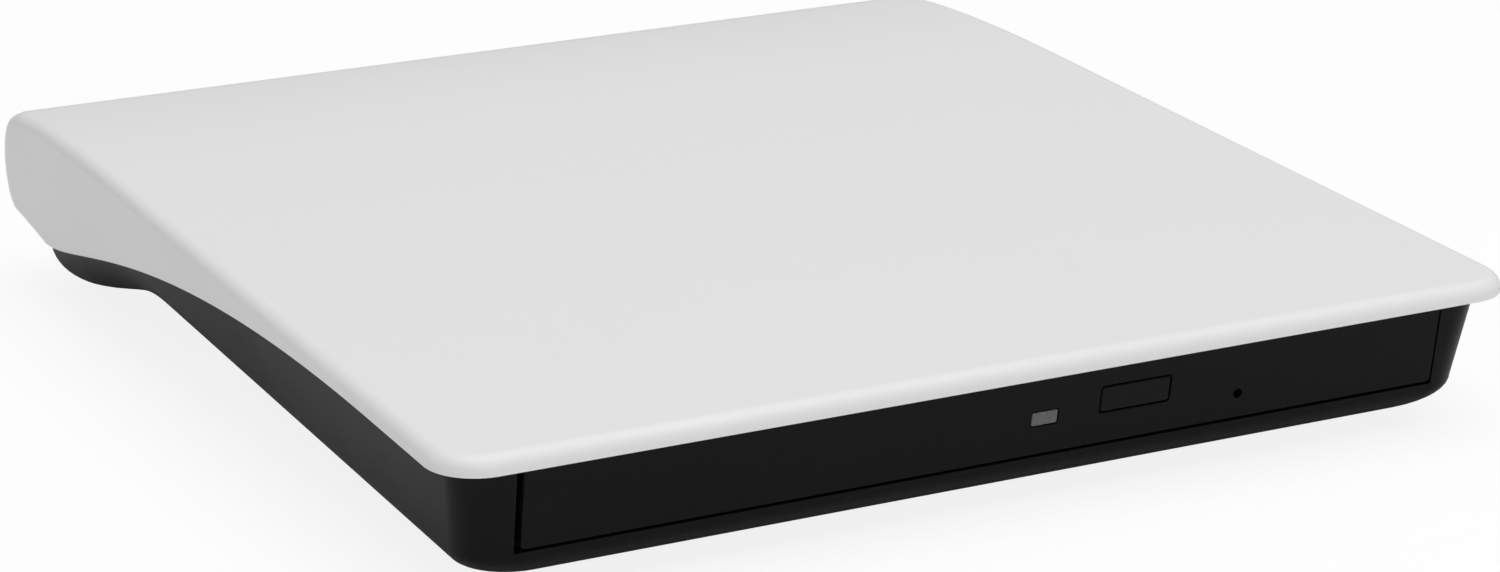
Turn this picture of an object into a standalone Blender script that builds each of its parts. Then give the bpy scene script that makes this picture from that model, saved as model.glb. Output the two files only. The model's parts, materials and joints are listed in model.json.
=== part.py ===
"""External optical drive: a white cover over a black base, with a slim tray-load drive inside.

Sizes are in millimetres and MM turns them into metres. Everything inside the case is placed in the
slab frame: x from the middle to the right, y from the cover's front lip to the back, z up from the
cover's flat top. The slab frame leans by TILT, because the rear of the case is deeper than its front.
"""
import math

import bmesh
import bpy
import numpy as np
from mathutils import Matrix, Vector

MM = 0.001
GAP = 0.3

# Cover
COVER_HALF_WIDTH = 74.0
COVER_CORNER_RADIUS = 6.5
COVER_EDGE_RADIUS = 2.0
COVER_REAR_CORNER_RADIUS = 3.2
COVER_SKIN = 2.2
LIP_Z = -2.3
WING_Z = -18.1
WING_START_Y = 23.6
WING_END_Y = 145.4
WING_LEDGE = 1.3
DROOP_START_Y = 105.0
DROOP = 2.65
NOSE_Y = 159.2
NOSE_Z = -10.75
NOSE_RADIUS = 7.5
NOSE_JOIN_DEG = 80.0

# Base
BASE_RIM_Z = -2.7
BASE_REAR_RIM_Z = -13.4
BASE_FLOOR_Z = -18.85
BASE_LOBE_DEPTH = 11.0
BASE_LOBE_START_Y = 110.0
BASE_LOBE_LENGTH = 55.4
BASE_REAR_Y = 165.8
BASE_INSET = 2.4
BASE_TAPER = 0.137
BASE_ROUND_START_Z = -14.15
BASE_ROUND_WIDTH = 7.7
BASE_CORNER_RADIUS = 5.0
BASE_WALL = 2.0
BASE_REAR_RIM_Y = 136.0

# Bezel and the things in it
BEZEL_LEFT = -63.1
BEZEL_RIGHT = 63.8
BEZEL_TOP = -2.75
BEZEL_BOTTOM = -13.85
BEZEL_BACK_Y = 7.0
BEZEL_GAP_LEFT = 0.9
BUTTON_CENTRE = (19.05, -7.85)
BUTTON_SIZE = (9.8, 3.35)
LENS_WINDOW_CENTRE = (6.2, -8.9)
LENS_WINDOW_SIZE = (3.6, 1.8)
PINHOLE_CENTRE = (34.25, -10.4)
PINHOLE_RADIUS = 0.65

# Slim drive
DRIVE_X = 1.0
DRIVE_HALF_WIDTH = 64.0
DRIVE_FRONT_Y = 11.8
DRIVE_BACK_Y = 133.0
DRIVE_TOP_Z = -3.2
DRIVE_BOTTOM_Z = -15.6
SHEET = 0.6
TRAY_FRONT_Y = 7.3
TRAY_BACK_Y = 131.3
TRAY_BODY_BACK_Y = 125.5
TRAY_RIM_TOP_Z = -4.6
TRAY_RIM_BOTTOM_Z = -6.3
TRAY_PLATE_TOP_Z = -6.6
TRAY_PLATE_BOTTOM_Z = -7.5
TRAY_BOTTOM_Z = -13.8
TRAY_PLATE_HALF = 61.8
TRAY_BODY_HALF = 58.7
TRAY_WALL = 1.6
DISC_RECESS_RADIUS = 60.6
SPINDLE = (DRIVE_X, 70.0)

# Pickup mechanism, in its own frame: origin on the spindle, +y along the pickup's travel
MECHANISM_TURN_DEG = 136.0
PICKUP_START = 24.0
ROD_X = 15.0
ROD_Z = -10.0
ROD_RADIUS = 1.2
SCREW_X = -20.3
SCREW_Z = -10.3

# Latch and ejector
LATCH_PIVOT = (46.0, 14.0)
LATCH_PIN = (40.5, 21.0)
PLUNGER = (51.5, -10.4)
EJECTOR = (50.0, -10.5)

# Stance
FRONT_FOOT = (57.0, 22.0)
REAR_FOOT = (46.0, 150.0)
CASE_SCREW = (58.5, 150.0)
FOOT_RADIUS = 4.0
FRONT_FOOT_HEIGHT = 2.6
REAR_FOOT_HEIGHT = 1.0


def smoothstep(value):
    """Ease from 0 to 1 while value runs from 0 to 1."""
    t = min(max(value, 0.0), 1.0)
    return t * t * (3.0 - 2.0 * t)


def floor_z(y):
    """Height of the base's outer floor: flat under the drive, then down into the rear lobe."""
    return BASE_FLOOR_Z - BASE_LOBE_DEPTH * smoothstep((y - BASE_LOBE_START_Y) / BASE_LOBE_LENGTH)


def stance():
    """The slab frame's lean and its height above the table, from the two pairs of feet."""
    run = REAR_FOOT[1] - FRONT_FOOT[1]
    drop = floor_z(FRONT_FOOT[1]) - floor_z(REAR_FOOT[1])
    rise = REAR_FOOT_HEIGHT - FRONT_FOOT_HEIGHT
    lean = math.asin(rise / math.hypot(run, drop)) + math.atan2(drop, run)
    height = FRONT_FOOT_HEIGHT
    height -= FRONT_FOOT[1] * math.sin(lean) + floor_z(FRONT_FOOT[1]) * math.cos(lean)
    return lean, height


TILT, SLAB_HEIGHT = stance()
SLAB_Y = -83.6

for old in list(bpy.data.objects):
    bpy.data.objects.remove(old, do_unlink=True)

parts = bpy.data.collections.new("external_optical_drive")
guides = bpy.data.collections.new("cutters")
bpy.context.scene.collection.children.link(parts)
bpy.context.scene.collection.children.link(guides)


def empty(name, location, rotation=(0.0, 0.0, 0.0), parent=None):
    """A frame that parts are placed in."""
    frame = bpy.data.objects.new(name, None)
    frame.location = [value * MM for value in location]
    frame.rotation_euler = rotation
    frame.parent = parent
    parts.objects.link(frame)
    return frame


slab = empty("slab_frame", (0.0, SLAB_Y, SLAB_HEIGHT), (TILT, 0.0, 0.0))
mechanism = empty(
    "mechanism_axis", (SPINDLE[0], SPINDLE[1], 0.0), (0.0, 0.0, math.radians(MECHANISM_TURN_DEG)), slab
)


def material(name, colour, roughness, metallic=0.0):
    """A Principled BSDF material."""
    made = bpy.data.materials.new(name)
    made.use_nodes = True
    shader = made.node_tree.nodes["Principled BSDF"]
    shader.inputs["Base Color"].default_value = (*colour, 1.0)
    shader.inputs["Roughness"].default_value = roughness
    shader.inputs["Metallic"].default_value = metallic
    return made


WHITE = material("white_plastic", (0.80, 0.80, 0.81), 0.45)
BLACK = material("black_plastic", (0.012, 0.013, 0.013), 0.42)
TRAY_BLACK = material("tray_plastic", (0.02, 0.02, 0.022), 0.5)
LENS_GREY = material("lens_plastic", (0.35, 0.35, 0.36), 0.3)
RUBBER = material("rubber", (0.02, 0.02, 0.02), 0.9)
STEEL = material("pressed_steel", (0.55, 0.56, 0.57), 0.35, 1.0)
BRIGHT = material("bright_steel", (0.7, 0.7, 0.7), 0.2, 1.0)
BOARD = material("circuit_board", (0.02, 0.16, 0.08), 0.5)
CHIP = material("chip_plastic", (0.03, 0.03, 0.03), 0.5)
CONNECTOR = material("connector_plastic", (0.05, 0.05, 0.05), 0.6)
FLEX = material("flex_film", (0.75, 0.72, 0.62), 0.5)
GLASS = material("lens_glass", (0.45, 0.5, 0.65), 0.05)
CAST = material("die_cast", (0.4, 0.4, 0.42), 0.45, 0.9)


def add(name, mesh, colour, location=(0.0, 0.0, 0.0), parent=slab, smooth=False):
    """A named part in the parts collection; without a colour it is a cutter."""
    made = bpy.data.objects.new(name, mesh)
    made.location = [value * MM for value in location]
    made.parent = parent
    if colour is None:
        made.hide_render = True
        made.display_type = "WIRE"
        guides.objects.link(made)
        return made
    mesh.materials.clear()
    mesh.materials.append(colour)
    if smooth:
        mesh.shade_smooth()
        mesh.set_sharp_from_angle(angle=math.radians(35.0))
    parts.objects.link(made)
    return made


def mesh_from(name, form):
    """A mesh datablock from a bmesh, with its faces pointing out."""
    bmesh.ops.recalc_face_normals(form, faces=form.faces)
    mesh = bpy.data.meshes.new(name)
    form.to_mesh(mesh)
    form.free()
    return mesh


def box(name, low, high, colour, parent=slab):
    """A block between two corners."""
    centre = [(a + b) / 2 for a, b in zip(low, high)]
    size = Matrix.Diagonal([(b - a) * MM for a, b in zip(low, high)] + [1.0])
    form = bmesh.new()
    bmesh.ops.create_cube(form, size=1.0, matrix=size)
    return add(name, mesh_from(name, form), colour, centre, parent)


AXES = {
    "X": Matrix.Rotation(math.radians(90.0), 4, "Y"),
    "Y": Matrix.Rotation(math.radians(-90.0), 4, "X"),
    "Z": Matrix.Identity(4),
}


def rod(name, centre, radius, length, colour, axis="Z", parent=slab, sides=24):
    """A cylinder about its centre, along one axis of its parent frame."""
    form = bmesh.new()
    bmesh.ops.create_cone(
        form, cap_ends=True, segments=sides, radius1=radius * MM, radius2=radius * MM,
        depth=length * MM, matrix=AXES[axis],
    )
    return add(name, mesh_from(name, form), colour, centre, parent, smooth=True)


def plate(name, outline, low, high, colour, parent=slab, side_view=False, origin=(0.0, 0.0)):
    """A flat outline given thickness: an (x, y) outline upward, or a (y, z) outline along x."""
    curve = bpy.data.curves.new(name + "_outline", "CURVE")
    curve.dimensions = "2D"
    curve.fill_mode = "BOTH"
    curve.extrude = (high - low) / 2 * MM
    spline = curve.splines.new("POLY")
    spline.points.add(len(outline) - 1)
    for point, (a, b) in zip(spline.points, outline):
        point.co = ((a - origin[0]) * MM, (b - origin[1]) * MM, 0.0, 1.0)
    spline.use_cyclic_u = True
    flat = bpy.data.objects.new(name + "_outline", curve)
    guides.objects.link(flat)
    depsgraph = bpy.context.evaluated_depsgraph_get()
    mesh = bpy.data.meshes.new_from_object(flat.evaluated_get(depsgraph))
    bpy.data.objects.remove(flat, do_unlink=True)
    form = bmesh.new()
    form.from_mesh(mesh)
    bpy.data.meshes.remove(mesh)
    bmesh.ops.remove_doubles(form, verts=form.verts, dist=1e-7)
    mesh = mesh_from(name, form)
    middle = (low + high) / 2
    if side_view:
        mesh.transform(Matrix(((0, 0, 1, 0), (1, 0, 0, 0), (0, 1, 0, 0), (0, 0, 0, 1))))
        return add(name, mesh, colour, (middle, origin[0], origin[1]), parent)
    return add(name, mesh, colour, (origin[0], origin[1], middle), parent)


def turned(name, profile, centre, colour, parent=slab, steps=36, closed=False):
    """A solid of revolution about z. The profile is (radius, z) from its top down its outer side."""
    mesh = bpy.data.meshes.new(name)
    points = [(radius * MM, 0.0, z * MM) for radius, z in profile]
    edges = [(i, i + 1) for i in range(len(points) - 1)]
    if closed:
        edges.append((len(points) - 1, 0))
    mesh.from_pydata(points, edges, [])
    made = add(name, mesh, colour, centre, parent)
    screw = made.modifiers.new("turn", "SCREW")
    screw.steps = steps
    screw.render_steps = steps
    screw.use_merge_vertices = True
    screw.merge_threshold = 0.00001
    screw.use_smooth_shade = True
    return made


# The EXACT solver leaves slits in these thin shells, so their cuts use MANIFOLD
MANIFOLD_PARTS = {"top_cover", "base_shell", "latch_lever"}


def boolean(target, other, operation="DIFFERENCE"):
    """Cut another solid out of the target, or join it on."""
    step = target.modifiers.new(operation.lower(), "BOOLEAN")
    step.operation = operation
    step.solver = "MANIFOLD" if target.name in MANIFOLD_PARTS else "EXACT"
    step.object = other
    return target


def cut(target, *cutters):
    """Take each cutter out of the target."""
    for cutter in cutters:
        boolean(target, cutter)
    return target


def join(target, *others):
    """Join each guide solid to the target."""
    for other in others:
        boolean(target, other, "UNION")
    return target


def arc(centre, radius, start_deg, end_deg, count):
    """Points on an arc."""
    angles = np.radians(np.linspace(start_deg, end_deg, count))
    return [(centre[0] + radius * math.cos(a), centre[1] + radius * math.sin(a)) for a in angles]


def rounded_rectangle(low, high, radius, count=4):
    """Outline of a rectangle with round corners, counter-clockwise from its lower right."""
    (x0, y0), (x1, y1) = low, high
    points = arc((x1 - radius, y0 + radius), radius, -90, 0, count)
    points += arc((x1 - radius, y1 - radius), radius, 0, 90, count)
    points += arc((x0 + radius, y1 - radius), radius, 90, 180, count)
    points += arc((x0 + radius, y0 + radius), radius, 180, 270, count)
    return points


def bezier(p0, p1, p2, p3, count):
    """Points on a cubic Bezier curve."""
    points = []
    for t in np.linspace(0.0, 1.0, count):
        weights = ((1 - t) ** 3, 3 * t * (1 - t) ** 2, 3 * t * t * (1 - t), t ** 3)
        points.append(tuple(sum(w * p[k] for w, p in zip(weights, (p0, p1, p2, p3))) for k in (0, 1)))
    return points


def loft_rows(form, sections):
    """Rows of vertices, one for each section, joined by a band of faces from row to row."""
    rows = [[form.verts.new(Vector(point) * MM) for point in section] for section in sections]
    for row, after in zip(rows, rows[1:]):
        for i in range(len(row)):
            j = (i + 1) % len(row)
            form.faces.new((row[i], row[j], after[j], after[i]))
    return rows


def close_loft(name, form, colour):
    """Merge what meets, split the faces into flat triangles and make the part."""
    bmesh.ops.remove_doubles(form, verts=form.verts, dist=1e-7)
    bmesh.ops.dissolve_degenerate(form, edges=form.edges, dist=1e-7)
    bmesh.ops.triangulate(form, faces=form.faces)
    return add(name, mesh_from(name, form), colour)


# ---------------------------------------------------------------- cover


def edge_drop(distance, radius):
    """How far a rounded edge has fallen, at a distance in from its outer face."""
    inside = max(radius - distance, 0.0)
    return radius - math.sqrt(radius * radius - inside * inside)


def top_z(y):
    """The cover's top: flat, then drooping towards the nose."""
    run = NOSE_Y + NOSE_RADIUS * math.cos(math.radians(NOSE_JOIN_DEG)) - DROOP_START_Y
    return -DROOP * max(y - DROOP_START_Y, 0.0) ** 3 / run ** 3


def wing_edge(count):
    """The lower edge of the cover's side, from the front lip back to the nose."""
    start = (WING_START_Y, LIP_Z)
    end = (WING_END_Y, WING_Z)
    return bezier(start, (WING_START_Y + 75.0, LIP_Z), (WING_END_Y - 12.3, WING_Z), end, count)


def cover_section(distance):
    """The cover's outline in (y, z) at a distance in from its end face."""
    corner = COVER_CORNER_RADIUS
    edge = COVER_EDGE_RADIUS
    rear_corner = COVER_REAR_CORNER_RADIUS
    fall = edge_drop(distance, edge)
    across = min(distance, corner)
    points = []
    for angle in np.linspace(0.0, 90.0, 5):
        inset = min(edge * (1.0 - math.cos(math.radians(angle))), distance)
        reach = math.sqrt(max((corner - inset) ** 2 - (corner - across) ** 2, 0.0))
        points.append((corner - reach, -edge_drop(inset, edge)))
    lip_y = points[0][0]
    for y in np.linspace(DROOP_START_Y, NOSE_Y - 2.0, 7):
        points.append((float(y), top_z(y) - fall))
    radius = NOSE_RADIUS - fall
    back = rear_corner - math.sqrt(rear_corner ** 2 - max(rear_corner - distance, 0.0) ** 2)
    for angle in np.radians(np.linspace(NOSE_JOIN_DEG, -90.0, 11)):
        points.append((NOSE_Y + (radius - back) * math.cos(angle), NOSE_Z + radius * math.sin(angle)))
    points += reversed(wing_edge(12))
    points.append((lip_y, LIP_Z))
    return points


def cover_outer(name, colour):
    """The cover's solid outer form, lofted from its left end face to its right."""
    steps = [COVER_EDGE_RADIUS * (1.0 - math.cos(math.radians(a))) for a in (0, 25, 48, 70, 90)]
    steps += [3.2, 4.7, COVER_CORNER_RADIUS]
    sections = []
    for distance in steps:
        x = distance - COVER_HALF_WIDTH
        sections.append([(x, y, z) for y, z in cover_section(distance)])
    for section in reversed(sections[:]):
        sections.append([(-x, y, z) for x, y, z in section])
    form = bmesh.new()
    rows = loft_rows(form, sections)
    form.faces.new(rows[0])
    form.faces.new(rows[-1])
    return close_loft(name, form, colour)


def cover_cavity(name):
    """The hollow above the wings' ledge: it starts where the wing is deep enough to hold one."""
    ledge = [(y, z + WING_LEDGE) for y, z in wing_edge(16)]
    ledge = [(y, z) for y, z in ledge if z < -COVER_SKIN - GAP]
    outline = [(ledge[0][0], -COVER_SKIN)]
    for y in np.linspace(DROOP_START_Y, NOSE_Y - 2.0, 6):
        outline.append((float(y), top_z(y) - COVER_SKIN))
    outline += arc((NOSE_Y, NOSE_Z), NOSE_RADIUS - COVER_SKIN, NOSE_JOIN_DEG, -90.0, 9)
    outline += reversed(ledge)
    inner = COVER_HALF_WIDTH - COVER_SKIN
    return plate(name, outline, -inner, inner, None, side_view=True)


def base_inset(depth):
    """Inset and nominal height of the base's wall at a depth fraction from rim (0) to floor (1)."""
    wall_share = 0.6
    if depth <= wall_share:
        z = BASE_RIM_Z + (BASE_ROUND_START_Z - BASE_RIM_Z) * depth / wall_share
        return BASE_INSET - BASE_TAPER * z, z
    angle = math.radians(90.0) * (depth - wall_share) / (1.0 - wall_share)
    z = BASE_ROUND_START_Z + (BASE_FLOOR_Z - BASE_ROUND_START_Z) * math.sin(angle)
    start = BASE_INSET - BASE_TAPER * BASE_ROUND_START_Z
    return start + BASE_ROUND_WIDTH * (1.0 - math.cos(angle)), z


def ring(inset, count, radius):
    """Plan outline of the base at an inset, from its front middle round to its front middle."""
    half = COVER_HALF_WIDTH - inset
    y0 = inset
    y1 = BASE_REAR_Y - inset
    right = [(0.0, y0), (half / 2, y0)]
    right += arc((half - radius, y0 + radius), radius, -90, 0, count)
    lobe = np.linspace(BASE_LOBE_START_Y, BASE_REAR_Y - 22.0, 7)
    right += [(half, float(y)) for y in lobe]
    right += arc((half - radius, y1 - radius), radius, 0, 90, count)
    right += [(half / 2, y1), (0.0, y1)]
    return right


def base_form(wall, rim):
    """The base's outer form, offset by a wall, as a loft of plan outlines from rim to floor."""
    sections = []
    for depth in (0.0, 0.3, 0.6, 0.68, 0.76, 0.84, 0.92, 1.0):
        inset, nominal = base_inset(depth)
        share = (nominal - BASE_RIM_Z) / (BASE_FLOOR_Z - BASE_RIM_Z)
        radius = max(BASE_CORNER_RADIUS - wall + 0.3 * (inset - BASE_INSET), 1.0)
        section = []
        for x, y in ring(inset + wall, 4, radius):
            top = rim(y)
            section.append((x, y, top + share * (floor_z(y) + max(wall, 0.0) - top)))
        mirrored = [(-x, y, z) for x, y, z in reversed(section[1:-1])]
        sections.append(section + mirrored)
    return sections


def base_rim(y):
    """The base's rim, just under the cover's skin."""
    return min(BASE_RIM_Z, ceiling(y) - 0.4)


def ceiling(y):
    """Highest a hollow may reach under the cover's skin."""
    if y < NOSE_Y:
        return min(LIP_Z, top_z(y) - COVER_SKIN) - 0.02
    radius = NOSE_RADIUS - COVER_SKIN
    return NOSE_Z + math.sqrt(max(radius ** 2 - (y - NOSE_Y) ** 2, 0.0)) - 0.02


def cap(form, row):
    """Close a plan outline with strips that run from left to right."""
    count = len(row)
    form.faces.new((row[0], row[1], row[-1]))
    for i in range(1, count // 2 - 1):
        form.faces.new((row[i], row[i + 1], row[count - i - 1], row[count - i]))
    form.faces.new((row[count // 2 - 1], row[count // 2], row[count // 2 + 1]))


def base_tub(name, colour):
    """The base's wall and floor: down the outside, up the inside, and over the rim."""
    form = bmesh.new()
    outside = loft_rows(form, base_form(0.0, base_rim))
    inside = loft_rows(form, base_form(BASE_WALL, base_rim))
    cap(form, outside[-1])
    cap(form, inside[-1])
    for i in range(len(outside[0])):
        j = (i + 1) % len(outside[0])
        form.faces.new((outside[0][i], outside[0][j], inside[0][j], inside[0][i]))
    return close_loft(name, form, colour)


def base_block(name, wall, rim):
    """The base's form as one solid, offset by a wall: a cutter for what surrounds it."""
    form = bmesh.new()
    rows = loft_rows(form, base_form(wall, rim))
    cap(form, rows[0])
    cap(form, rows[-1])
    return close_loft(name, form, None)


def front_y(z):
    """The front plane of the base and bezel at a height."""
    return BASE_INSET - BASE_TAPER * z


def build_cover():
    """The white cover: outer form, less the base's space, the wings' hollows and the socket hole."""
    cover = cover_outer("top_cover", WHITE)
    cut(cover, base_block("cover_clearance", -0.4, ceiling), cover_cavity("cover_hollow"))
    cut(cover, box("port_hole", (-4.25, NOSE_Y, -11.95), (4.25, NOSE_Y + 14.0, -7.75), None))
    for side in (-1, 1):
        x, y = side * CASE_SCREW[0], CASE_SCREW[1]
        join(cover, rod(f"cover_boss_{side}", (x, y, -8.6), 3.0, 10.8, None))
        cut(cover, rod(f"cover_boss_hole_{side}", (x, y, -10.2), 1.3, 9.0, None, sides=16))


def build_base():
    """The black base: a tapered tub with a deep rear lobe and a front opening for the bezel."""
    base = base_tub("base_shell", BLACK)
    low = (BEZEL_LEFT - BEZEL_GAP_LEFT, -3.0, BEZEL_BOTTOM - GAP)
    mouth = box("base_mouth", low, (BEZEL_RIGHT + GAP, 14.0, 2.0), None)
    low = (-80.0, BASE_REAR_RIM_Y, BASE_REAR_RIM_Z)
    cut(base, mouth, box("base_rear_opening", low, (80.0, 170.0, 2.0), None))
    for side in (-1, 1):
        x, y = side * CASE_SCREW[0], CASE_SCREW[1]
        rib_x = side * 45.0
        join(
            base,
            box(f"base_rib_{side}", (rib_x - 1.0, 14.0, -18.3), (rib_x + 1.0, 104.0, -15.9), None),
            rod(f"board_post_{side}", (side * 26.0, 150.0, -20.0), 2.4, 13.4, None, sides=16),
            rod(f"base_boss_{side}", (x, y, -20.45), 4.2, 11.8, None),
        )
        cut(
            base,
            rod(f"base_counterbore_{side}", (x, y, -26.3), 2.9, 9.4, None),
            rod(f"base_shank_hole_{side}", (x, y, -18.0), 1.3, 10.0, None, sides=16),
        )
    for side in (-1, 1):
        for (x, y), tag in ((FRONT_FOOT, "front"), (REAR_FOOT, "rear")):
            centre = (side * x, y, floor_z(y) - 4.5)
            cut(base, rod(f"foot_seat_{tag}_{side}", centre, FOOT_RADIUS + GAP, 10.0, None))


def world_point(x, y, z):
    """A slab-frame point in the world, in millimetres."""
    return (
        x,
        SLAB_Y + y * math.cos(TILT) - z * math.sin(TILT),
        SLAB_HEIGHT + y * math.sin(TILT) + z * math.cos(TILT),
    )


def build_feet():
    """Four rubber feet, upright in the world so that they stand flat on the table."""
    radius = FOOT_RADIUS
    for (x, y), tag in ((FRONT_FOOT, "front"), (REAR_FOOT, "rear")):
        for side, hand in ((-1, "left"), (1, "right")):
            px, py, seat_z = world_point(side * x, y, floor_z(y))
            top = seat_z + 0.1
            profile = [(0.0, top), (radius, top), (radius, 0.4), (radius - 0.4, 0.0), (0.0, 0.0)]
            turned(f"foot_{tag}_{hand}", profile, (px, py, 0.0), RUBBER, parent=None, steps=24)


def build_case_screws():
    """The two screws that hold the cover to the base from below."""
    profile = [(0.0, -9.0), (1.0, -9.0), (1.0, -21.9), (2.5, -21.9), (2.5, -23.4), (0.0, -23.4)]
    for side, hand in ((-1, "left"), (1, "right")):
        centre = (side * CASE_SCREW[0], CASE_SCREW[1], 0.0)
        turned(f"case_screw_{hand}", profile, centre, STEEL, steps=20)


def build_bridge():
    """The bridge board in the rear lobe, its socket, chip and plug."""
    box("bridge_board", (-52.0, 138.4, -13.0), (36.0, 161.0, -12.0), BOARD)
    box("bridge_chip", (3.0, 144.0, -11.7), (10.0, 151.0, -10.8), CHIP)
    socket = box("usb_socket", (-3.85, 156.2, -11.7), (3.85, 166.1, -8.0), STEEL)
    cut(socket, box("socket_mouth", (-3.45, 157.2, -11.3), (3.45, 168.0, -8.4), None))
    box("usb_tongue", (-2.2, 157.5, -10.3), (2.2, 165.2, -9.3), CONNECTOR)
    box("sata_plug", (-48.0, 133.4, -13.5), (-18.0, 138.1, -10.4), CONNECTOR)


# ---------------------------------------------------------------- slim drive


def span(side, near, far):
    """The x of two distances out from the drive's middle on one side, lower first."""
    return sorted((DRIVE_X + side * near, DRIVE_X + side * far))


def grooved_bar(name, side, bar, groove, colour):
    """A bar with a groove in its inner face. Each is (near, far, front, back, bottom, top)."""
    solids = []
    for tag, (near, far, front, back, bottom, top) in (("", bar), ("_groove", groove)):
        a, b = span(side, near, far)
        paint = None if tag else colour
        solids.append(box(name + tag, (a, front, bottom), (b, back, top), paint))
    cut(*solids)


def build_chassis():
    """The pressed pan, its lid, the fixed rails and the things fastened to them."""
    left, right = span(1.0, -DRIVE_HALF_WIDTH, DRIVE_HALF_WIDTH)
    front, back = DRIVE_FRONT_Y, DRIVE_BACK_Y
    pan = box("drive_chassis", (left, front, DRIVE_BOTTOM_Z), (right, back, -4.1), STEEL)
    low = (left + SHEET, front - 2.0, DRIVE_BOTTOM_Z + SHEET)
    inside = box("pan_inside", low, (right - SHEET, back - SHEET, 0.0), None)
    cut(pan, inside, box("pan_window", (-48.6, back - 3.0, -14.2), (-17.4, back + 3.0, 0.0), None))
    lid = box("drive_lid", (left - 0.9, front, -6.5), (right + 0.9, back, DRIVE_TOP_Z), STEEL)
    high = (right + GAP, back + 2.0, DRIVE_TOP_Z - SHEET)
    cut(lid, box("lid_inside", (left - GAP, front - 2.0, -9.0), high, None))
    for side, hand in ((-1, "left"), (1, "right")):
        grooved_bar(
            f"chassis_rail_{hand}", side, (60.4, 62.9, 12.0, 128.0, -13.6, -7.9),
            (58.0, 61.9, 10.0, 130.0, -12.6, -8.4), TRAY_BLACK,
        )
        grooved_bar(
            f"slide_rail_{hand}", side, (59.0, 61.6, 10.0, 122.0, -12.3, -8.7),
            (58.0, 60.6, 8.0, 124.0, -11.5, -9.5), BRIGHT,
        )
    box("drive_board", (-52.0, 112.0, -14.8), (44.0, 132.0, -14.1), BOARD)
    socket = box("sata_socket", (-48.0, 126.6, -13.8), (-18.0, 132.9, -10.2), CONNECTOR)
    cut(socket, box("sata_slot", (-46.0, 130.0, -12.6), (-20.0, 134.0, -11.4), None))
    box("tray_ribbon", (-14.0, 60.0, -14.75), (4.0, 111.0, -14.55), FLEX)
    rod("latch_pin", (*LATCH_PIN, -12.95), 1.0, 3.5, BRIGHT, sides=20)


def mechanism_outline(inset):
    """Outline of the steel plate over the mechanism, in the mechanism's frame."""
    points = arc((0.0, 0.0), 18.0 - inset, 170.0, 370.0, 13)
    points += arc((11.0, 53.2), 6.0 - inset, 0.0, 90.0, 4)
    points += arc((-11.0, 53.2), 6.0 - inset, 90.0, 180.0, 4)
    return points


def build_tray():
    """The disc tray: a floor plate over a skirt, open to the mechanism, and the disc's round rim."""
    low = (DRIVE_X - TRAY_PLATE_HALF, TRAY_FRONT_Y)
    high = (DRIVE_X + TRAY_PLATE_HALF, TRAY_BACK_Y)
    outline = rounded_rectangle(low, high, 3.0)
    tray = plate("disc_tray", outline, TRAY_PLATE_BOTTOM_Z, TRAY_PLATE_TOP_Z, TRAY_BLACK)
    left, right = span(1.0, -TRAY_BODY_HALF, TRAY_BODY_HALF)
    high = (right, TRAY_BODY_BACK_Y, TRAY_PLATE_BOTTOM_Z + 0.6)
    join(tray, box("tray_body", (left, TRAY_FRONT_Y, TRAY_BOTTOM_Z), high, None))
    for side in (-1, 1):
        a, b = span(side, TRAY_BODY_HALF - 1.0, 60.3)
        join(tray, box(f"tray_tongue_{side}", (a, 20.0, -11.2), (b, 124.0, -9.8), None))
    low = (left + TRAY_WALL, TRAY_FRONT_Y + TRAY_WALL, TRAY_BOTTOM_Z - 2.0)
    high = (right - TRAY_WALL, TRAY_BODY_BACK_Y - TRAY_WALL, TRAY_PLATE_BOTTOM_Z)
    pin_way = (PINHOLE_CENTRE[0], 8.0, PINHOLE_CENTRE[1])
    notch = (LATCH_PIN[0] - 2.5, 120.0, -16.0)
    cut(
        tray,
        box("tray_pocket", low, high, None),
        plate("mechanism_opening", mechanism_outline(0.0), -9.0, -5.0, None, parent=mechanism),
        box("front_window", (2.0, 6.0, -11.5), (26.0, 10.0, TRAY_PLATE_BOTTOM_Z), None),
        rod("pin_way", pin_way, 1.0, 6.0, None, axis="Y", sides=16),
        box("pin_notch", notch, (LATCH_PIN[0] + 2.5, 127.0, -10.9), None),
    )
    rim = plate("tray_rim", outline, TRAY_RIM_BOTTOM_Z, TRAY_RIM_TOP_Z, TRAY_BLACK)
    cut(rim, rod("disc_recess", (*SPINDLE, -5.5), DISC_RECESS_RADIUS, 4.0, None, sides=96))


def bezel_block(name, x_range, z_range, back, colour):
    """A block whose front face lies in the bezel's leaning front plane."""
    bottom, top = z_range
    sides = [(front_y(top), top), (front_y(bottom), bottom), (back, bottom), (back, top)]
    return plate(name, sides, *x_range, colour, side_view=True)


def around(centre, size, clearance=0.0):
    """The low and high limits about a centre, with a clearance, along x and along z."""
    ranges = []
    for middle, width in zip(centre, size):
        ranges.append((middle - width / 2 - clearance, middle + width / 2 + clearance))
    return ranges


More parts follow.
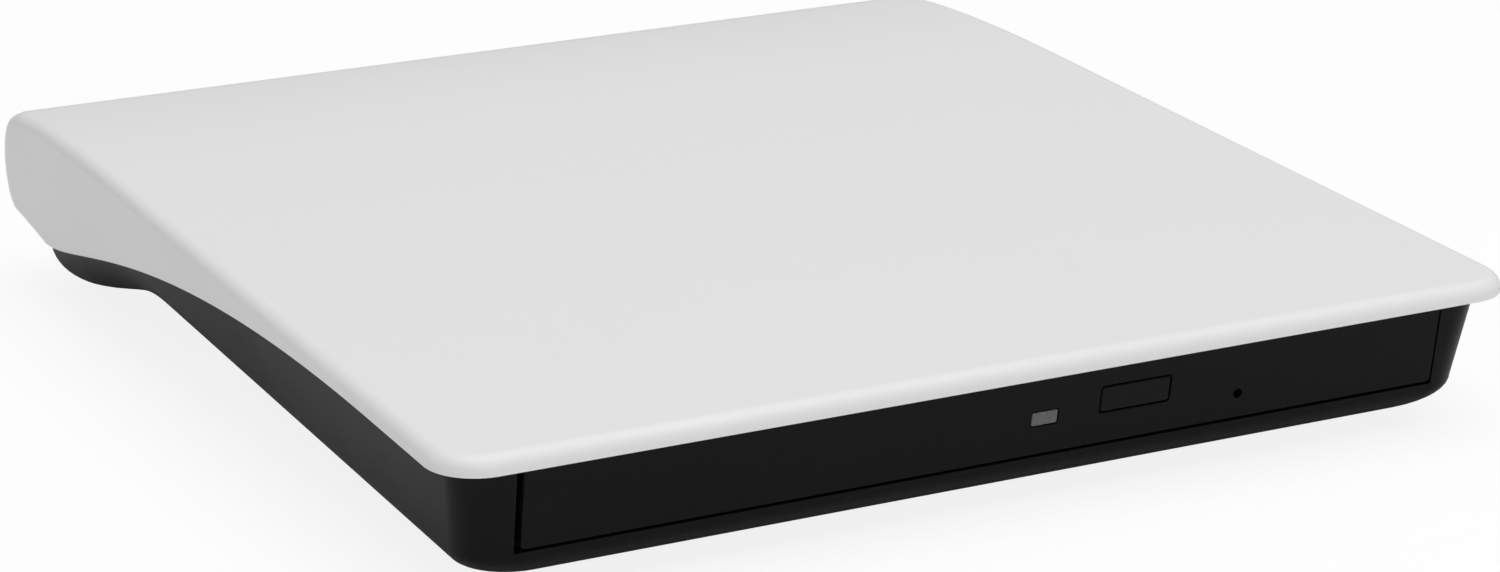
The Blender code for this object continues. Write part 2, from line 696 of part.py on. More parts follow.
def build_bezel():
    """The tray's front panel, with its button, lens and emergency pinhole."""
    width, height = (BEZEL_LEFT, BEZEL_RIGHT), (BEZEL_BOTTOM, BEZEL_TOP)
    bezel = bezel_block("tray_bezel", width, height, BEZEL_BACK_Y, BLACK)
    for name, centre, size, clearance in (
        ("button_hole", BUTTON_CENTRE, BUTTON_SIZE, 0.2),
        ("lens_hole", LENS_WINDOW_CENTRE, LENS_WINDOW_SIZE, 0.15),
    ):
        (x0, x1), (z0, z1) = around(centre, size, clearance)
        cut(bezel, box(name, (x0, -1.0, z0), (x1, 9.0, z1), None))
    x, z = PINHOLE_CENTRE
    cut(bezel, rod("pinhole", (x, 4.0, z), PINHOLE_RADIUS, 9.0, None, axis="Y", sides=16))
    button = bezel_block("eject_button", *around(BUTTON_CENTRE, BUTTON_SIZE), 6.4, BLACK)
    x, z = BUTTON_CENTRE
    join(button, box("button_stem", (x - 1.2, 5.5, z - 1.5), (x + 1.2, 8.7, z), None))
    lens = around(LENS_WINDOW_CENTRE, LENS_WINDOW_SIZE)
    bezel_block("activity_lens", *lens, 8.9, LENS_GREY)


def build_tray_electronics():
    """The control board under the tray's front right, its switch and its light."""
    box("tray_board", (4.0, 10.0, -12.7), (36.5, 30.0, -11.9), BOARD)
    x = BUTTON_CENTRE[0]
    box("eject_switch", (x - 2.2, 9.5, -11.6), (x + 2.2, 12.8, -7.8), CONNECTOR)
    box("status_led", (5.4, 9.6, -11.6), (7.0, 10.8, -9.9), LENS_GREY)


def build_latch():
    """The latch on the tray that catches the pin on the chassis, and the solenoid that frees it."""
    arm = [
        (44.2, 12.4), (48.0, 12.4), (53.4, 12.6), (53.4, 13.9), (49.0, 15.2), (47.4, 15.8),
        (47.2, 22.0), (46.6, 25.9), (43.6, 26.1), (42.3, 25.2), (42.5, 24.1), (44.5, 23.4),
        (44.3, 15.5),
    ]
    lever = plate("latch_lever", arm, -12.6, -11.8, STEEL, origin=LATCH_PIVOT)
    cut(lever, rod("lever_eye", (*LATCH_PIVOT, -12.2), 1.2, 4.0, None, sides=20))
    rod("latch_pivot_pin", (*LATCH_PIVOT, -10.4), 0.9, 5.2, BRIGHT, sides=20)
    x, z = PLUNGER
    solenoid = box("latch_solenoid", (x - 3.6, 20.0, -13.2), (x + 3.6, 31.0, -7.9), CAST)
    cut(solenoid, rod("solenoid_bore", (x, 22.0, z), 1.5, 14.0, None, axis="Y", sides=20))
    rod("solenoid_plunger", (x, 20.2, z), 1.1, 9.6, BRIGHT, axis="Y", sides=20)


def build_ejector():
    """The sprung pusher behind the tray."""
    x, z = EJECTOR
    guide = box("ejector_guide", (x - 3.2, 127.4, -14.7), (x + 3.2, 132.1, -7.9), TRAY_BLACK)
    cut(guide, rod("guide_bore", (x, 130.0, z), 1.0, 8.0, None, axis="Y", sides=16))
    pusher = rod("ejector_pusher", (x, 128.9, z), 0.7, 6.0, TRAY_BLACK, axis="Y", sides=16)
    join(pusher, rod("pusher_head", (x, 126.5, z), 2.0, 0.9, None, axis="Y", sides=16))


# ---------------------------------------------------------------- pickup mechanism


def build_spindle():
    """The disc motor, its hub, the ring the disc sits on and the three claws that hold it."""
    centre = (0.0, 0.0, 0.0)
    motor = [(0.0, -7.9), (1.0, -7.9), (1.0, -11.9), (12.5, -11.9), (12.5, -12.4), (0.0, -12.4)]
    turned("spindle_motor", motor, centre, STEEL, mechanism)
    profile = [
        (0.0, -4.1), (5.4, -4.1), (7.0, -4.8), (7.2, -6.6), (13.6, -6.6), (13.6, -7.3),
        (11.2, -7.5), (11.2, -11.5), (10.2, -11.5), (10.2, -8.2), (1.3, -8.2), (1.3, -7.6),
        (0.0, -7.6),
    ]
    hub = turned("disc_hub", profile, centre, BLACK, mechanism)
    claw = [(3.9, -5.5), (7.0, -5.5), (7.3, -5.2), (7.9, -4.6), (7.9, -4.5), (7.3, -4.4), (3.9, -4.4)]
    for number in (1, 2, 3):
        turn = (0.0, 0.0, math.radians(120.0 * number - 90.0))
        frame = empty(f"claw_frame_{number}", centre, turn, mechanism)
        cut(hub, box(f"claw_slot_{number}", (-1.3, 3.6, -5.8), (1.3, 9.0, -3.0), None, frame))
        plate(f"hub_claw_{number}", claw, -1.0, 1.0, LENS_GREY, frame, side_view=True)
    ring_profile = [(9.6, -5.9), (13.2, -5.9), (13.2, -6.3), (9.6, -6.3)]
    turned("turntable_ring", ring_profile, centre, RUBBER, mechanism, closed=True)


def build_mechanism_frame():
    """The sheet floor with the ears that hold the rods, and the steel plate above it."""
    outline = [
        (-23.4, 0.0), (-23.4, 49.0), (-17.0, 63.4), (15.0, 63.4), (18.0, 60.0), (18.0, -10.0),
        (11.0, -16.0), (-11.0, -16.0), (-23.4, -6.0),
    ]
    frame = plate("mechanism_frame", outline, -13.5, -12.8, STEEL, parent=mechanism)
    for side, hand in ((-1, "front"), (1, "rear")):
        x = side * ROD_X
        for y in (14.7, 62.9):
            low, high = (x - 2.2, y - 0.5, -13.3), (x + 2.2, y + 0.5, -8.2)
            join(frame, box(f"ear_{hand}_{int(y)}", low, high, None, mechanism))
        way = rod(f"rod_way_{hand}", (x, 39.0, ROD_Z), ROD_RADIUS + GAP, 60.0, None, "Y", mechanism, 20)
        cut(frame, way)
        rod(f"guide_rod_{hand}", (x, 38.8, ROD_Z), ROD_RADIUS, 50.2, BRIGHT, "Y", mechanism, 20)
    cover = plate("mechanism_plate", mechanism_outline(GAP), -7.4, -6.8, BRIGHT, mechanism)
    way = plate("lens_way", rounded_rectangle((-6.6, 12.0), (6.6, 57.9), 3.0), -9.0, -5.0, None, mechanism)
    cut(cover, rod("hub_way", (0.0, 0.0, -7.1), 14.2, 4.0, None, parent=mechanism, sides=48), way)


def build_pickup():
    """The sled with its lens, and the feed screw and motor that drive it."""
    y = PICKUP_START
    sled = box("pickup_sled", (-17.8, y - 8.0, -12.3), (17.8, y + 5.0, -7.8), CAST, mechanism)
    for side in (-1, 1):
        centre = (side * ROD_X, y, ROD_Z)
        cut(sled, rod(f"sled_way_{side}", centre, ROD_RADIUS + GAP, 30.0, None, "Y", mechanism, 20))
    cut(sled, box("lens_well", (-5.2, y - 3.9, -10.7), (5.2, y + 3.9, -6.0), None, mechanism))
    holder = box("lens_holder", (-4.4, y - 3.2, -10.1), (4.4, y + 3.2, -7.4), CONNECTOR, mechanism)
    cut(holder, rod("lens_seat", (0.0, y, -7.4), 2.5, 1.6, None, parent=mechanism))
    dome = [(0.0, -6.8)]
    for angle in np.radians((25.0, 50.0, 72.0, 90.0)):
        dome.append((2.2 * math.sin(angle), -7.5 + 0.7 * math.cos(angle)))
    dome += [(2.2, -7.9), (0.0, -7.9)]
    turned("objective_lens", dome, (0.0, y, 0.0), GLASS, mechanism, 24)
    rod("feed_screw", (SCREW_X, 37.0, SCREW_Z), 1.1, 43.0, BRIGHT, "Y", mechanism, 16)
    rod("feed_motor", (SCREW_X, 9.2, SCREW_Z), 2.3, 11.6, STEEL, "Y", mechanism, 24)


build_cover()
build_base()
build_feet()
build_case_screws()
build_bridge()
build_chassis()
build_tray()
build_bezel()
build_tray_electronics()
build_latch()
build_ejector()
build_spindle()
build_mechanism_frame()
build_pickup()
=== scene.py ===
"""Looks for the external optical drive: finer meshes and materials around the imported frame.

Shapes are made in millimetres in the slab frame (x from the middle to the right, y from the cover's
front lip to the back, z up from the cover's flat top) and placed by the frame's own joints.
"""
import json
import math

import bmesh
import bpy
import numpy as np
from mathutils import Matrix, Vector


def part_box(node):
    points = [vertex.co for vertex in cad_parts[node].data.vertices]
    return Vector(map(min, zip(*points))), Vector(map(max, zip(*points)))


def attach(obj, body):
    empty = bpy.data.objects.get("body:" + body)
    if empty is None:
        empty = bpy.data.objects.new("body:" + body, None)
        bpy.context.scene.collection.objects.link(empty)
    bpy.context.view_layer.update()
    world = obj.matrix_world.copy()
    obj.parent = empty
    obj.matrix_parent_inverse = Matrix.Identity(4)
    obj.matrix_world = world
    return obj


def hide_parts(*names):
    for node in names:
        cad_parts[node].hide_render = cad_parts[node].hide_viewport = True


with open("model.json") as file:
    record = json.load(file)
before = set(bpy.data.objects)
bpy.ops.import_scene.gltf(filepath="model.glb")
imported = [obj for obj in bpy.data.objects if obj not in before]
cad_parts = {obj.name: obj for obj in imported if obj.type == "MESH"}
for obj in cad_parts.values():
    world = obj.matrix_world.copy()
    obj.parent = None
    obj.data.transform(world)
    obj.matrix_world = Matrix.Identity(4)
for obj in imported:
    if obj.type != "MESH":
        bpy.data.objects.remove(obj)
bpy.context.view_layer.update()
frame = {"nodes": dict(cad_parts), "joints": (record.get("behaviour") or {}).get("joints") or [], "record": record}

MM = 0.001
JOINTS = {joint["name"]: joint for joint in frame["joints"]}
COUPLED = {pair["joint"]: pair["ratio"] for pair in frame["record"]["behaviour"]["couplings"]}

# Where the spindle joint's point lies in the slab frame, in millimetres
SPINDLE_POINT = (1.0, 70.0, -6.0)
SPINDLE = SPINDLE_POINT[:2]


def rigid(x_axis, y_axis, z_axis, origin):
    """A matrix from three axes and an origin."""
    made = Matrix.Identity(4)
    for column, vector in enumerate((x_axis, y_axis, z_axis, origin)):
        for row in range(3):
            made[row][column] = vector[row]
    return made


SLAB_Y = -Vector(JOINTS["tray_slide"]["axis"]).normalized()
SLAB_Z = Vector(JOINTS["spindle_spin"]["axis"]).normalized()
SLAB_X = SLAB_Y.cross(SLAB_Z)
SLAB_ROTATION = rigid(SLAB_X, SLAB_Y, SLAB_Z, (0.0, 0.0, 0.0))
SLAB_ORIGIN = Vector(JOINTS["spindle_spin"]["pos_m"]) - SLAB_ROTATION @ (Vector(SPINDLE_POINT) * MM)
SLAB = Matrix.Translation(SLAB_ORIGIN) @ SLAB_ROTATION @ Matrix.Scale(MM, 4)
TRAVEL = SLAB_ROTATION.inverted() @ Vector(JOINTS["sled_travel"]["axis"])
MECHANISM_TURN = math.atan2(-TRAVEL.x, TRAVEL.y)
MECHANISM = SLAB @ Matrix.Translation((*SPINDLE, 0.0)) @ Matrix.Rotation(MECHANISM_TURN, 4, "Z")
WORLD = Matrix.Scale(MM, 4)

# Cover
COVER_HALF_WIDTH = 74.0
COVER_CORNER_RADIUS = 6.5
COVER_EDGE_RADIUS = 2.0
COVER_REAR_CORNER_RADIUS = 3.2
COVER_SKIN = 2.2
LIP_Z = -2.3
WING_Z = -18.1
WING_START_Y = 23.6
WING_END_Y = 145.4
WING_FRONT_HANDLE = 75.0
WING_REAR_HANDLE = 12.3
WING_LEDGE = 1.3
DROOP_START_Y = 105.0
DROOP = 2.65
NOSE_Y = 159.2
NOSE_Z = -10.75
NOSE_RADIUS = 7.5
NOSE_JOIN_DEG = 80.0

# Base
BASE_RIM_Z = -2.7
BASE_REAR_RIM_Z = -13.4
BASE_FLOOR_Z = -18.85
BASE_LOBE_DEPTH = 11.0
BASE_LOBE_START_Y = 110.0
BASE_LOBE_LENGTH = 55.4
BASE_REAR_Y = 165.8
BASE_INSET = 2.4
BASE_TAPER = 0.137
BASE_ROUND_START_Z = -14.15
BASE_ROUND_WIDTH = 7.7
BASE_CORNER_RADIUS = 5.0
BASE_WALL = 2.0
BASE_REAR_RIM_Y = 136.0
RIM_CLEARANCE = 0.4
WALL_SHARE = 0.6  # of the wall's height, down to where its lower edge starts to round

# Bezel
BEZEL_LEFT = -63.1
BEZEL_RIGHT = 63.8
BEZEL_TOP = -2.75
BEZEL_BOTTOM = -13.85
BEZEL_BACK_Y = 7.0
BEZEL_GAP_LEFT = 0.9
BEZEL_GAP_RIGHT = 0.12
GAP = 0.3
BUTTON_CENTRE = (19.05, -7.85)
BUTTON_SIZE = (9.8, 3.35)
BUTTON_PLAY = 0.4
LENS_WINDOW_CENTRE = (6.2, -8.9)
LENS_WINDOW_SIZE = (3.6, 1.8)
LENS_WINDOW_PLAY = 0.3
PINHOLE_CENTRE = (34.25, -10.4)
PINHOLE_RADIUS = 0.65

CASE_SCREW = (58.5, 150.0)
BOSS_RADIUS = 4.2
HEAD_HOLE_RADIUS = 2.9
SHANK_HOLE_RADIUS = 1.3
FRONT_FOOT = (57.0, 22.0)
REAR_FOOT = (46.0, 150.0)
FOOT_RADIUS = 4.0
SOCKET_CENTRE = (0.0, -9.85)

# Tray
DRIVE_X = SPINDLE[0]
TRAY_FRONT_Y = 7.3
TRAY_BACK_Y = 131.3
TRAY_BODY_BACK_Y = 125.5
TRAY_RIM_TOP_Z = -4.6
TRAY_PLATE_BOTTOM_Z = -7.5
TRAY_BOTTOM_Z = -13.8
TRAY_PLATE_HALF = 61.8
TRAY_BODY_HALF = 58.7
TRAY_WALL = 1.6
LATCH_PIN_X = 40.5

# Mechanism: x across the pickup's way and y along it, from the spindle
PICKUP_START = 24.0
LENS_RADIUS = 2.2
CLAW_NUMBERS = (1, 2, 3)
PLATE_SCREW_TOP_Z = -6.55
PLATE_SCREW_RADIUS = 1.5
FEED_SCREW_X = -20.3
FEED_SCREW_Z = -10.3
FEED_SCREW_START = 15.5
FEED_SCREW_LENGTH = 43.0
FEED_SCREW_RADIUS = 1.1
THREAD_DEPTH = 0.32
FEED_MOTOR_Y = 9.2


# ---------- mesh tools

MERGE_DISTANCE = 0.0001


def linked(name, data):
    """A new object in the scene."""
    made = bpy.data.objects.new(name, data)
    bpy.context.scene.collection.objects.link(made)
    return made


def new_object(name, form):
    """An object from a bmesh in millimetres, with its faces pointing out."""
    bmesh.ops.recalc_face_normals(form, faces=form.faces)
    mesh = bpy.data.meshes.new(name)
    form.to_mesh(mesh)
    form.free()
    return linked(name, mesh)


def strips(form, sections):
    """Join closed sections of equal length by strips of faces; returns each section's vertices."""
    rows = [[form.verts.new(point) for point in section] for section in sections]
    for row, after in zip(rows, rows[1:]):
        for i in range(len(row)):
            j = (i + 1) % len(row)
            form.faces.new((row[i], row[j], after[j], after[i]))
    return rows


def cleaned(name, form, split):
    """An object from a bmesh without its slivers, in triangles if split."""
    bmesh.ops.remove_doubles(form, verts=form.verts, dist=MERGE_DISTANCE)
    bmesh.ops.dissolve_degenerate(form, edges=form.edges, dist=MERGE_DISTANCE)
    if split:
        bmesh.ops.triangulate(form, faces=form.faces)
    return new_object(name, form)


def loft(name, sections, split=False):
    """A solid through closed sections of equal length, capped at both ends."""
    form = bmesh.new()
    rows = strips(form, sections)
    form.faces.new(rows[0])
    form.faces.new(rows[-1])
    return cleaned(name, form, split)


def prism(name, outline, low, high, along="z"):
    """An outline given thickness: (x, y) along z, (y, z) along x, or (x, z) along y."""
    spot = {
        "z": lambda a, b, t: (a, b, t),
        "x": lambda a, b, t: (t, a, b),
        "y": lambda a, b, t: (a, t, b),
    }[along]
    return loft(name, [[spot(a, b, t) for a, b in outline] for t in (low, high)])


def block(name, low, high):
    """A block between two corners."""
    (x0, y0, z0), (x1, y1, z1) = low, high
    return prism(name, [(x0, y0), (x1, y0), (x1, y1), (x0, y1)], z0, z1)


def cylinder(name, centre, radius, length, along="z", sides=48):
    """A cylinder about its centre, along z or y."""
    a, b, t = {"z": (0, 1, 2), "y": (0, 2, 1)}[along]
    ring = arc((centre[a], centre[b]), radius, 0.0, 360.0, sides + 1)[:-1]
    return prism(name, ring, centre[t] - length / 2, centre[t] + length / 2, along)


def turned(name, profile, centre=(0.0, 0.0, 0.0), sides=72):
    """A solid of revolution about z from a closed (radius, z) profile."""
    form = bmesh.new()
    rows = []
    for radius, z in profile:
        if radius < 1e-6:
            rows.append([form.verts.new((centre[0], centre[1], centre[2] + z))])
            continue
        ring = arc(centre[:2], radius, 0.0, 360.0, sides + 1)[:-1]
        rows.append([form.verts.new((x, y, centre[2] + z)) for x, y in ring])
    for row, after in zip(rows, rows[1:] + rows[:1]):
        for i in range(sides):
            j = (i + 1) % sides
            corners = []
            for ring, order in ((row, (i, j)), (after, (j, i))):
                corners += [ring[0]] if len(ring) == 1 else [ring[k] for k in order]
            if len(corners) > 2:
                form.faces.new(corners)
    return new_object(name, form)


def arc(centre, radius, start_deg, end_deg, count):
    """Points on an arc."""
    angles = np.radians(np.linspace(start_deg, end_deg, count))
    return [(centre[0] + radius * math.cos(a), centre[1] + radius * math.sin(a)) for a in angles]


def rounded_rectangle(low, high, radius, count=8):
    """Outline of a rectangle with round corners."""
    (x0, y0), (x1, y1) = [v + radius for v in low], [v - radius for v in high]
    points = []
    for start, centre in ((-90, (x1, y0)), (0, (x1, y1)), (90, (x0, y1)), (180, (x0, y0))):
        points += arc(centre, radius, start, start + 90, count)
    return points


def bezier(p0, p1, p2, p3, count):
    """Points on a cubic Bezier curve."""
    points = []
    for t in np.linspace(0.0, 1.0, count):
        weights = ((1 - t) ** 3, 3 * t * (1 - t) ** 2, 3 * t * t * (1 - t), t ** 3)
        points.append(tuple(sum(w * p[k] for w, p in zip(weights, (p0, p1, p2, p3))) for k in (0, 1)))
    return points


def bake(target):
    """Apply the object's modifiers to its mesh."""
    depsgraph = bpy.context.evaluated_depsgraph_get()
    mesh = bpy.data.meshes.new_from_object(target.evaluated_get(depsgraph))
    target.modifiers.clear()
    old = target.data
    target.data = mesh
    bpy.data.meshes.remove(old)
    return target


def remove(piece):
    """Delete an object and its mesh."""
    mesh = piece.data
    bpy.data.objects.remove(piece, do_unlink=True)
    bpy.data.meshes.remove(mesh)


def combine(target, others, operation):
    """Cut solids out of the target or join them on, then remove them."""
    for other in others:
        step = target.modifiers.new(operation.lower(), "BOOLEAN")
        step.operation = operation
        step.solver = "MANIFOLD"
        step.object = other
    bake(target)
    for other in others:
        remove(other)
    return target


def cut(target, *cutters):
    """Take solids out of the target."""
    return combine(target, cutters, "DIFFERENCE")


def join(target, *others):
    """Join solids to the target."""
    return combine(target, others, "UNION")


def soften(target, width, segments=3):
    """Round the sharp edges."""
    step = target.modifiers.new("rounding", "BEVEL")
    step.width = width
    step.segments = segments
    step.limit_method = "ANGLE"
    step.angle_limit = math.radians(35.0)
    step.use_clamp_overlap = True
    return bake(target)


def place(piece, matrix, body, material, slot, *replaced, sharp_deg=32.0):
    """Put a finished mesh in the row frame, paint it and let it ride on its body."""
    form = bmesh.new()
    form.from_mesh(piece.data)
    bmesh.ops.remove_doubles(form, verts=form.verts, dist=MERGE_DISTANCE)
    form.to_mesh(piece.data)
    form.free()
    piece.data.transform(matrix)
    piece.data.materials.clear()
    piece.data.materials.append(material)
    piece.data.shade_smooth()
    piece.data.set_sharp_from_angle(angle=math.radians(sharp_deg))
    normals = piece.modifiers.new("face_weighted_normals", "WEIGHTED_NORMAL")
    normals.keep_sharp = True
    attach(piece, body)
    if replaced:
        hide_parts(*replaced)


# ---------- materials


def fill(node, values):
    """Set a node's inputs by name."""
    for key, value in values.items():
        node.inputs[key].default_value = value


class Look:
    """A node material built up around one Principled BSDF."""

    def __init__(self, name, colour, roughness, metallic=0.0, specular=0.5):
        self.material = bpy.data.materials.new(name)
        self.material.use_nodes = True
        self.tree = self.material.node_tree
        self.shader = self.tree.nodes["Principled BSDF"]
        fill(self.shader, {"Base Color": (*colour, 1.0), "Roughness": roughness, "Metallic": metallic,
                           "Specular IOR Level": specular})
        self.material.diffuse_color = (*colour, 1.0)
        self.point = self.node("ShaderNodeTexCoord").outputs["Object"]

    def node(self, kind, **settings):
        made = self.tree.nodes.new(kind)
        for key, value in settings.items():
            setattr(made, key, value)
        return made

    def link(self, source, target):
        self.tree.links.new(source, target)

    def noise(self, size_mm, detail=3.0, stretch=(1.0, 1.0, 1.0)):
        """Noise with features of a size in millimetres, as a 0 to 1 value."""
        mapping = self.node("ShaderNodeMapping")
        fill(mapping, {"Scale": [s / (size_mm * MM) for s in stretch]})
        self.link(self.point, mapping.inputs["Vector"])
        texture = self.node("ShaderNodeTexNoise")
        fill(texture, {"Scale": 1.0, "Detail": detail})
        self.link(mapping.outputs["Vector"], texture.inputs["Vector"])
        return texture.outputs["Fac"]

    def mapped(self, value, low, high, start=0.3, end=0.7):
        """A 0 to 1 value spread over a range."""
        spread = self.node("ShaderNodeMapRange")
        fill(spread, {"From Min": start, "From Max": end, "To Min": low, "To Max": high})
        self.link(value, spread.inputs["Value"])
        return spread.outputs["Result"]

    def combine(self, a, b, operation):
        """Two values added, subtracted or multiplied."""
        step = self.node("ShaderNodeMath", operation=operation)
        for value, socket in ((a, step.inputs[0]), (b, step.inputs[1])):
            if isinstance(value, float):
                socket.default_value = value
            else:
                self.link(value, socket)
        return step.outputs[0]

    def weighted(self, a, b, share):
        """Two values mixed by the first one's share."""
        parts = [self.combine(value, part, "MULTIPLY") for value, part in ((a, share), (b, 1.0 - share))]
        return self.combine(*parts, "ADD")

    def mixed(self, factor, first, second):
        """Two shaders mixed by a factor."""
        mix = self.node("ShaderNodeMixShader")
        for source, target in zip((factor, first, second), mix.inputs):
            self.link(source, target)
        return mix.outputs["Shader"]

    def tint(self, factor, colour):
        """Blend the base colour towards another where the factor is high."""
        mix = self.node("ShaderNodeMix", data_type="RGBA")
        base = self.shader.inputs["Base Color"]
        if base.is_linked:
            self.link(base.links[0].from_socket, mix.inputs["A"])
        else:
            mix.inputs["A"].default_value = base.default_value
        mix.inputs["B"].default_value = (*colour, 1.0)
        self.link(factor, mix.inputs["Factor"])
        self.link(mix.outputs["Result"], base)

    def rough(self, value, low, high):
        """Roughness that follows a value."""
        self.link(self.mapped(value, low, high), self.shader.inputs["Roughness"])

    def relief(self, value, depth_mm):
        """Surface relief from a 0 to 1 value, on top of what is there."""
        bump = self.node("ShaderNodeBump")
        fill(bump, {"Strength": 1.0, "Distance": depth_mm * MM})
        self.link(value, bump.inputs["Height"])
        normal = self.shader.inputs["Normal"]
        if normal.is_linked:
            self.link(normal.links[0].from_socket, bump.inputs["Normal"])
        self.link(bump.outputs["Normal"], normal)

    def edges(self, radius_mm):
        """A value that is high along rounded or sharp edges."""
        rounded = self.node("ShaderNodeBevel", samples=4)
        fill(rounded, {"Radius": radius_mm * MM})
        geometry = self.node("ShaderNodeNewGeometry")
        dot = self.node("ShaderNodeVectorMath", operation="DOT_PRODUCT")
        self.link(rounded.outputs["Normal"], dot.inputs[0])
        self.link(geometry.outputs["Normal"], dot.inputs[1])
        worn = self.combine(1.0, dot.outputs["Value"], "SUBTRACT")
        return self.mapped(worn, 0.0, 1.0, 0.02, 0.25)


def scaled(colour, factor):
    """A colour made lighter or darker."""
    return tuple(min(channel * factor, 1.0) for channel in colour)


def moulded(name, colour, roughness, specular=0.5, grain_mm=0.12, grain_depth=0.004, wear=1.25):
    """Moulded plastic: fine tool texture, slow gloss changes and edges rubbed a little brighter."""
    look = Look(name, colour, roughness, specular=specular)
    slow = look.noise(28.0, 2.0)
    fine = look.noise(grain_mm, 2.0)
    look.rough(look.weighted(slow, fine, 0.6), roughness - 0.05, roughness + 0.05)
    look.tint(look.mapped(slow, 0.0, 0.5), scaled(colour, 0.975))
    patchy = look.mapped(look.noise(3.0, 4.0), 0.15, 0.7)
    look.tint(look.combine(look.edges(0.5), patchy, "MULTIPLY"), scaled(colour, wear))
    look.relief(look.noise(6.0, 2.0), 0.010)
    look.relief(fine, grain_depth)
    return look.material


def metal(name, colour, roughness, brushed=(1.0, 1.0, 1.0), grain_mm=0.25, depth=0.003):
    """Bare or plated metal with rolling marks and fine scratches."""
    look = Look(name, colour, roughness, metallic=1.0)
    slow = look.noise(14.0, 3.0)
    fine = look.noise(grain_mm, 4.0, brushed)
    look.rough(look.weighted(slow, fine, 0.4), roughness - 0.08, roughness + 0.1)
    look.tint(look.mapped(slow, 0.0, 0.6), scaled(colour, 0.88))
    look.tint(look.combine(look.edges(0.3), 0.6, "MULTIPLY"), scaled(colour, 1.25))
    look.relief(fine, depth)
    return look.material


WHITE = moulded("white_satin_plastic", (0.735, 0.735, 0.735), 0.42, 0.35, 0.10, 0.0015, 1.03)
BLACK = moulded("black_satin_plastic", (0.0046, 0.0050, 0.0048), 0.40, 0.075, 0.14, 0.003, 2.2)
GLOSS_BLACK = moulded("black_button_plastic", (0.0048, 0.0052, 0.0050), 0.36, 0.085, 0.2, 0.001, 2.2)
TRAY = moulded("black_tray_plastic", (0.018, 0.018, 0.020), 0.48, 0.35, 0.22, 0.006, 2.0)
FIXED_RAIL = moulded("rail_plastic", (0.03, 0.03, 0.032), 0.45, 0.4, 0.3, 0.002, 1.6)
CONNECTOR = moulded("connector_plastic", (0.035, 0.035, 0.037), 0.55, 0.4, 0.2, 0.002, 1.6)
CLAW = moulded("claw_plastic", (0.62, 0.62, 0.60), 0.35, 0.5, 0.3, 0.001, 1.1)
ZINC = metal("zinc_plated_sheet", (0.56, 0.57, 0.58), 0.36, (1.0, 0.06, 1.0))
BRIGHT = metal("ground_steel", (0.72, 0.72, 0.72), 0.20, (1.0, 0.08, 1.0), 0.15, 0.001)
CAST = metal("die_cast_zinc", (0.42, 0.42, 0.44), 0.48, (1.0, 1.0, 1.0), 0.5, 0.012)
GOLD = metal("gold_plating", (0.83, 0.62, 0.26), 0.25, (1.0, 1.0, 1.0), 0.3, 0.001)
BRUSHED = metal("brushed_steel_plate", (0.60, 0.61, 0.62), 0.30, (1.0, 0.05, 1.0), 0.2, 0.0015)
CAPACITOR = moulded("ceramic_body", (0.30, 0.22, 0.15), 0.5, 0.4, 0.3, 0.002, 1.3)
COPPER = metal("enamelled_copper", (0.60, 0.27, 0.12), 0.35, (1.0, 1.0, 0.15), 0.2, 0.01)


def rubber_material():
    """Matt rubber with a fine pitted surface and dust in its pits."""
    look = Look("black_rubber", (0.022, 0.022, 0.023), 0.85, specular=0.3)
    pits = look.noise(0.35, 4.0)
    look.rough(pits, 0.75, 0.95)
    look.tint(look.mapped(look.noise(2.2, 5.0), 0.0, 0.35), (0.075, 0.072, 0.068))
    look.relief(pits, 0.03)
    return look.material


def board_material():
    """Green solder mask over a maze of tracks."""
    look = Look("green_solder_mask", (0.012, 0.115, 0.05), 0.35, specular=0.5)
    maze = look.node("ShaderNodeTexVoronoi", distance="MANHATTAN", feature="DISTANCE_TO_EDGE")
    fill(maze, {"Scale": 420.0})
    look.link(look.point, maze.inputs["Vector"])
    tracks = look.mapped(maze.outputs["Distance"], 1.0, 0.0, 0.04, 0.09)
    look.tint(tracks, (0.02, 0.19, 0.08))
    look.rough(look.noise(0.8, 3.0), 0.28, 0.45)
    look.relief(tracks, 0.02)
    return look.material


def film_material():
    """Flat cable film: pale with rows of copper under it."""
    look = Look("flat_cable_film", (0.70, 0.66, 0.55), 0.35, specular=0.5)
    wave = look.node("ShaderNodeTexWave", wave_type="BANDS", bands_direction="X")
    fill(wave, {"Scale": 320.0})
    look.link(look.point, wave.inputs["Vector"])
    look.tint(look.mapped(wave.outputs["Fac"], 0.0, 0.7), (0.50, 0.36, 0.22))
    look.rough(look.noise(3.0), 0.28, 0.42)
    return look.material


def window_material():
    """The status window: milky grey plastic that lets a little light in."""
    look = Look("milky_window_plastic", (0.088, 0.088, 0.091), 0.28, specular=0.5)
    fill(look.shader, {"Subsurface Weight": 0.35, "Subsurface Radius": (0.6 * MM, 0.6 * MM, 0.6 * MM)})
    look.tint(look.mapped(look.noise(1.2, 3.0), 0.0, 0.6), (0.108, 0.108, 0.112))
    look.rough(look.noise(0.4), 0.22, 0.36)
    look.relief(look.noise(0.25), 0.004)
    return look.material


def optic_material():
    """The objective lens: clear with a violet coating."""
    look = Look("coated_lens", (0.20, 0.24, 0.42), 0.04, specular=0.9)
    fill(look.shader, {"Coat Weight": 1.0, "Coat Roughness": 0.02, "Coat Tint": (0.62, 0.55, 1.0, 1.0)})
    look.rough(look.noise(0.8), 0.02, 0.07)
    look.tint(look.mapped(look.noise(2.0, 1.0), 0.0, 0.5), (0.32, 0.20, 0.45))
    return look.material


RUBBER = rubber_material()
BOARD = board_material()
FILM = film_material()
WINDOW = window_material()
OPTIC = optic_material()


# ---------- case shapes


def smoothstep(value):
    """Ease from 0 to 1 while value runs from 0 to 1."""
    t = min(max(value, 0.0), 1.0)
    return t * t * (3.0 - 2.0 * t)


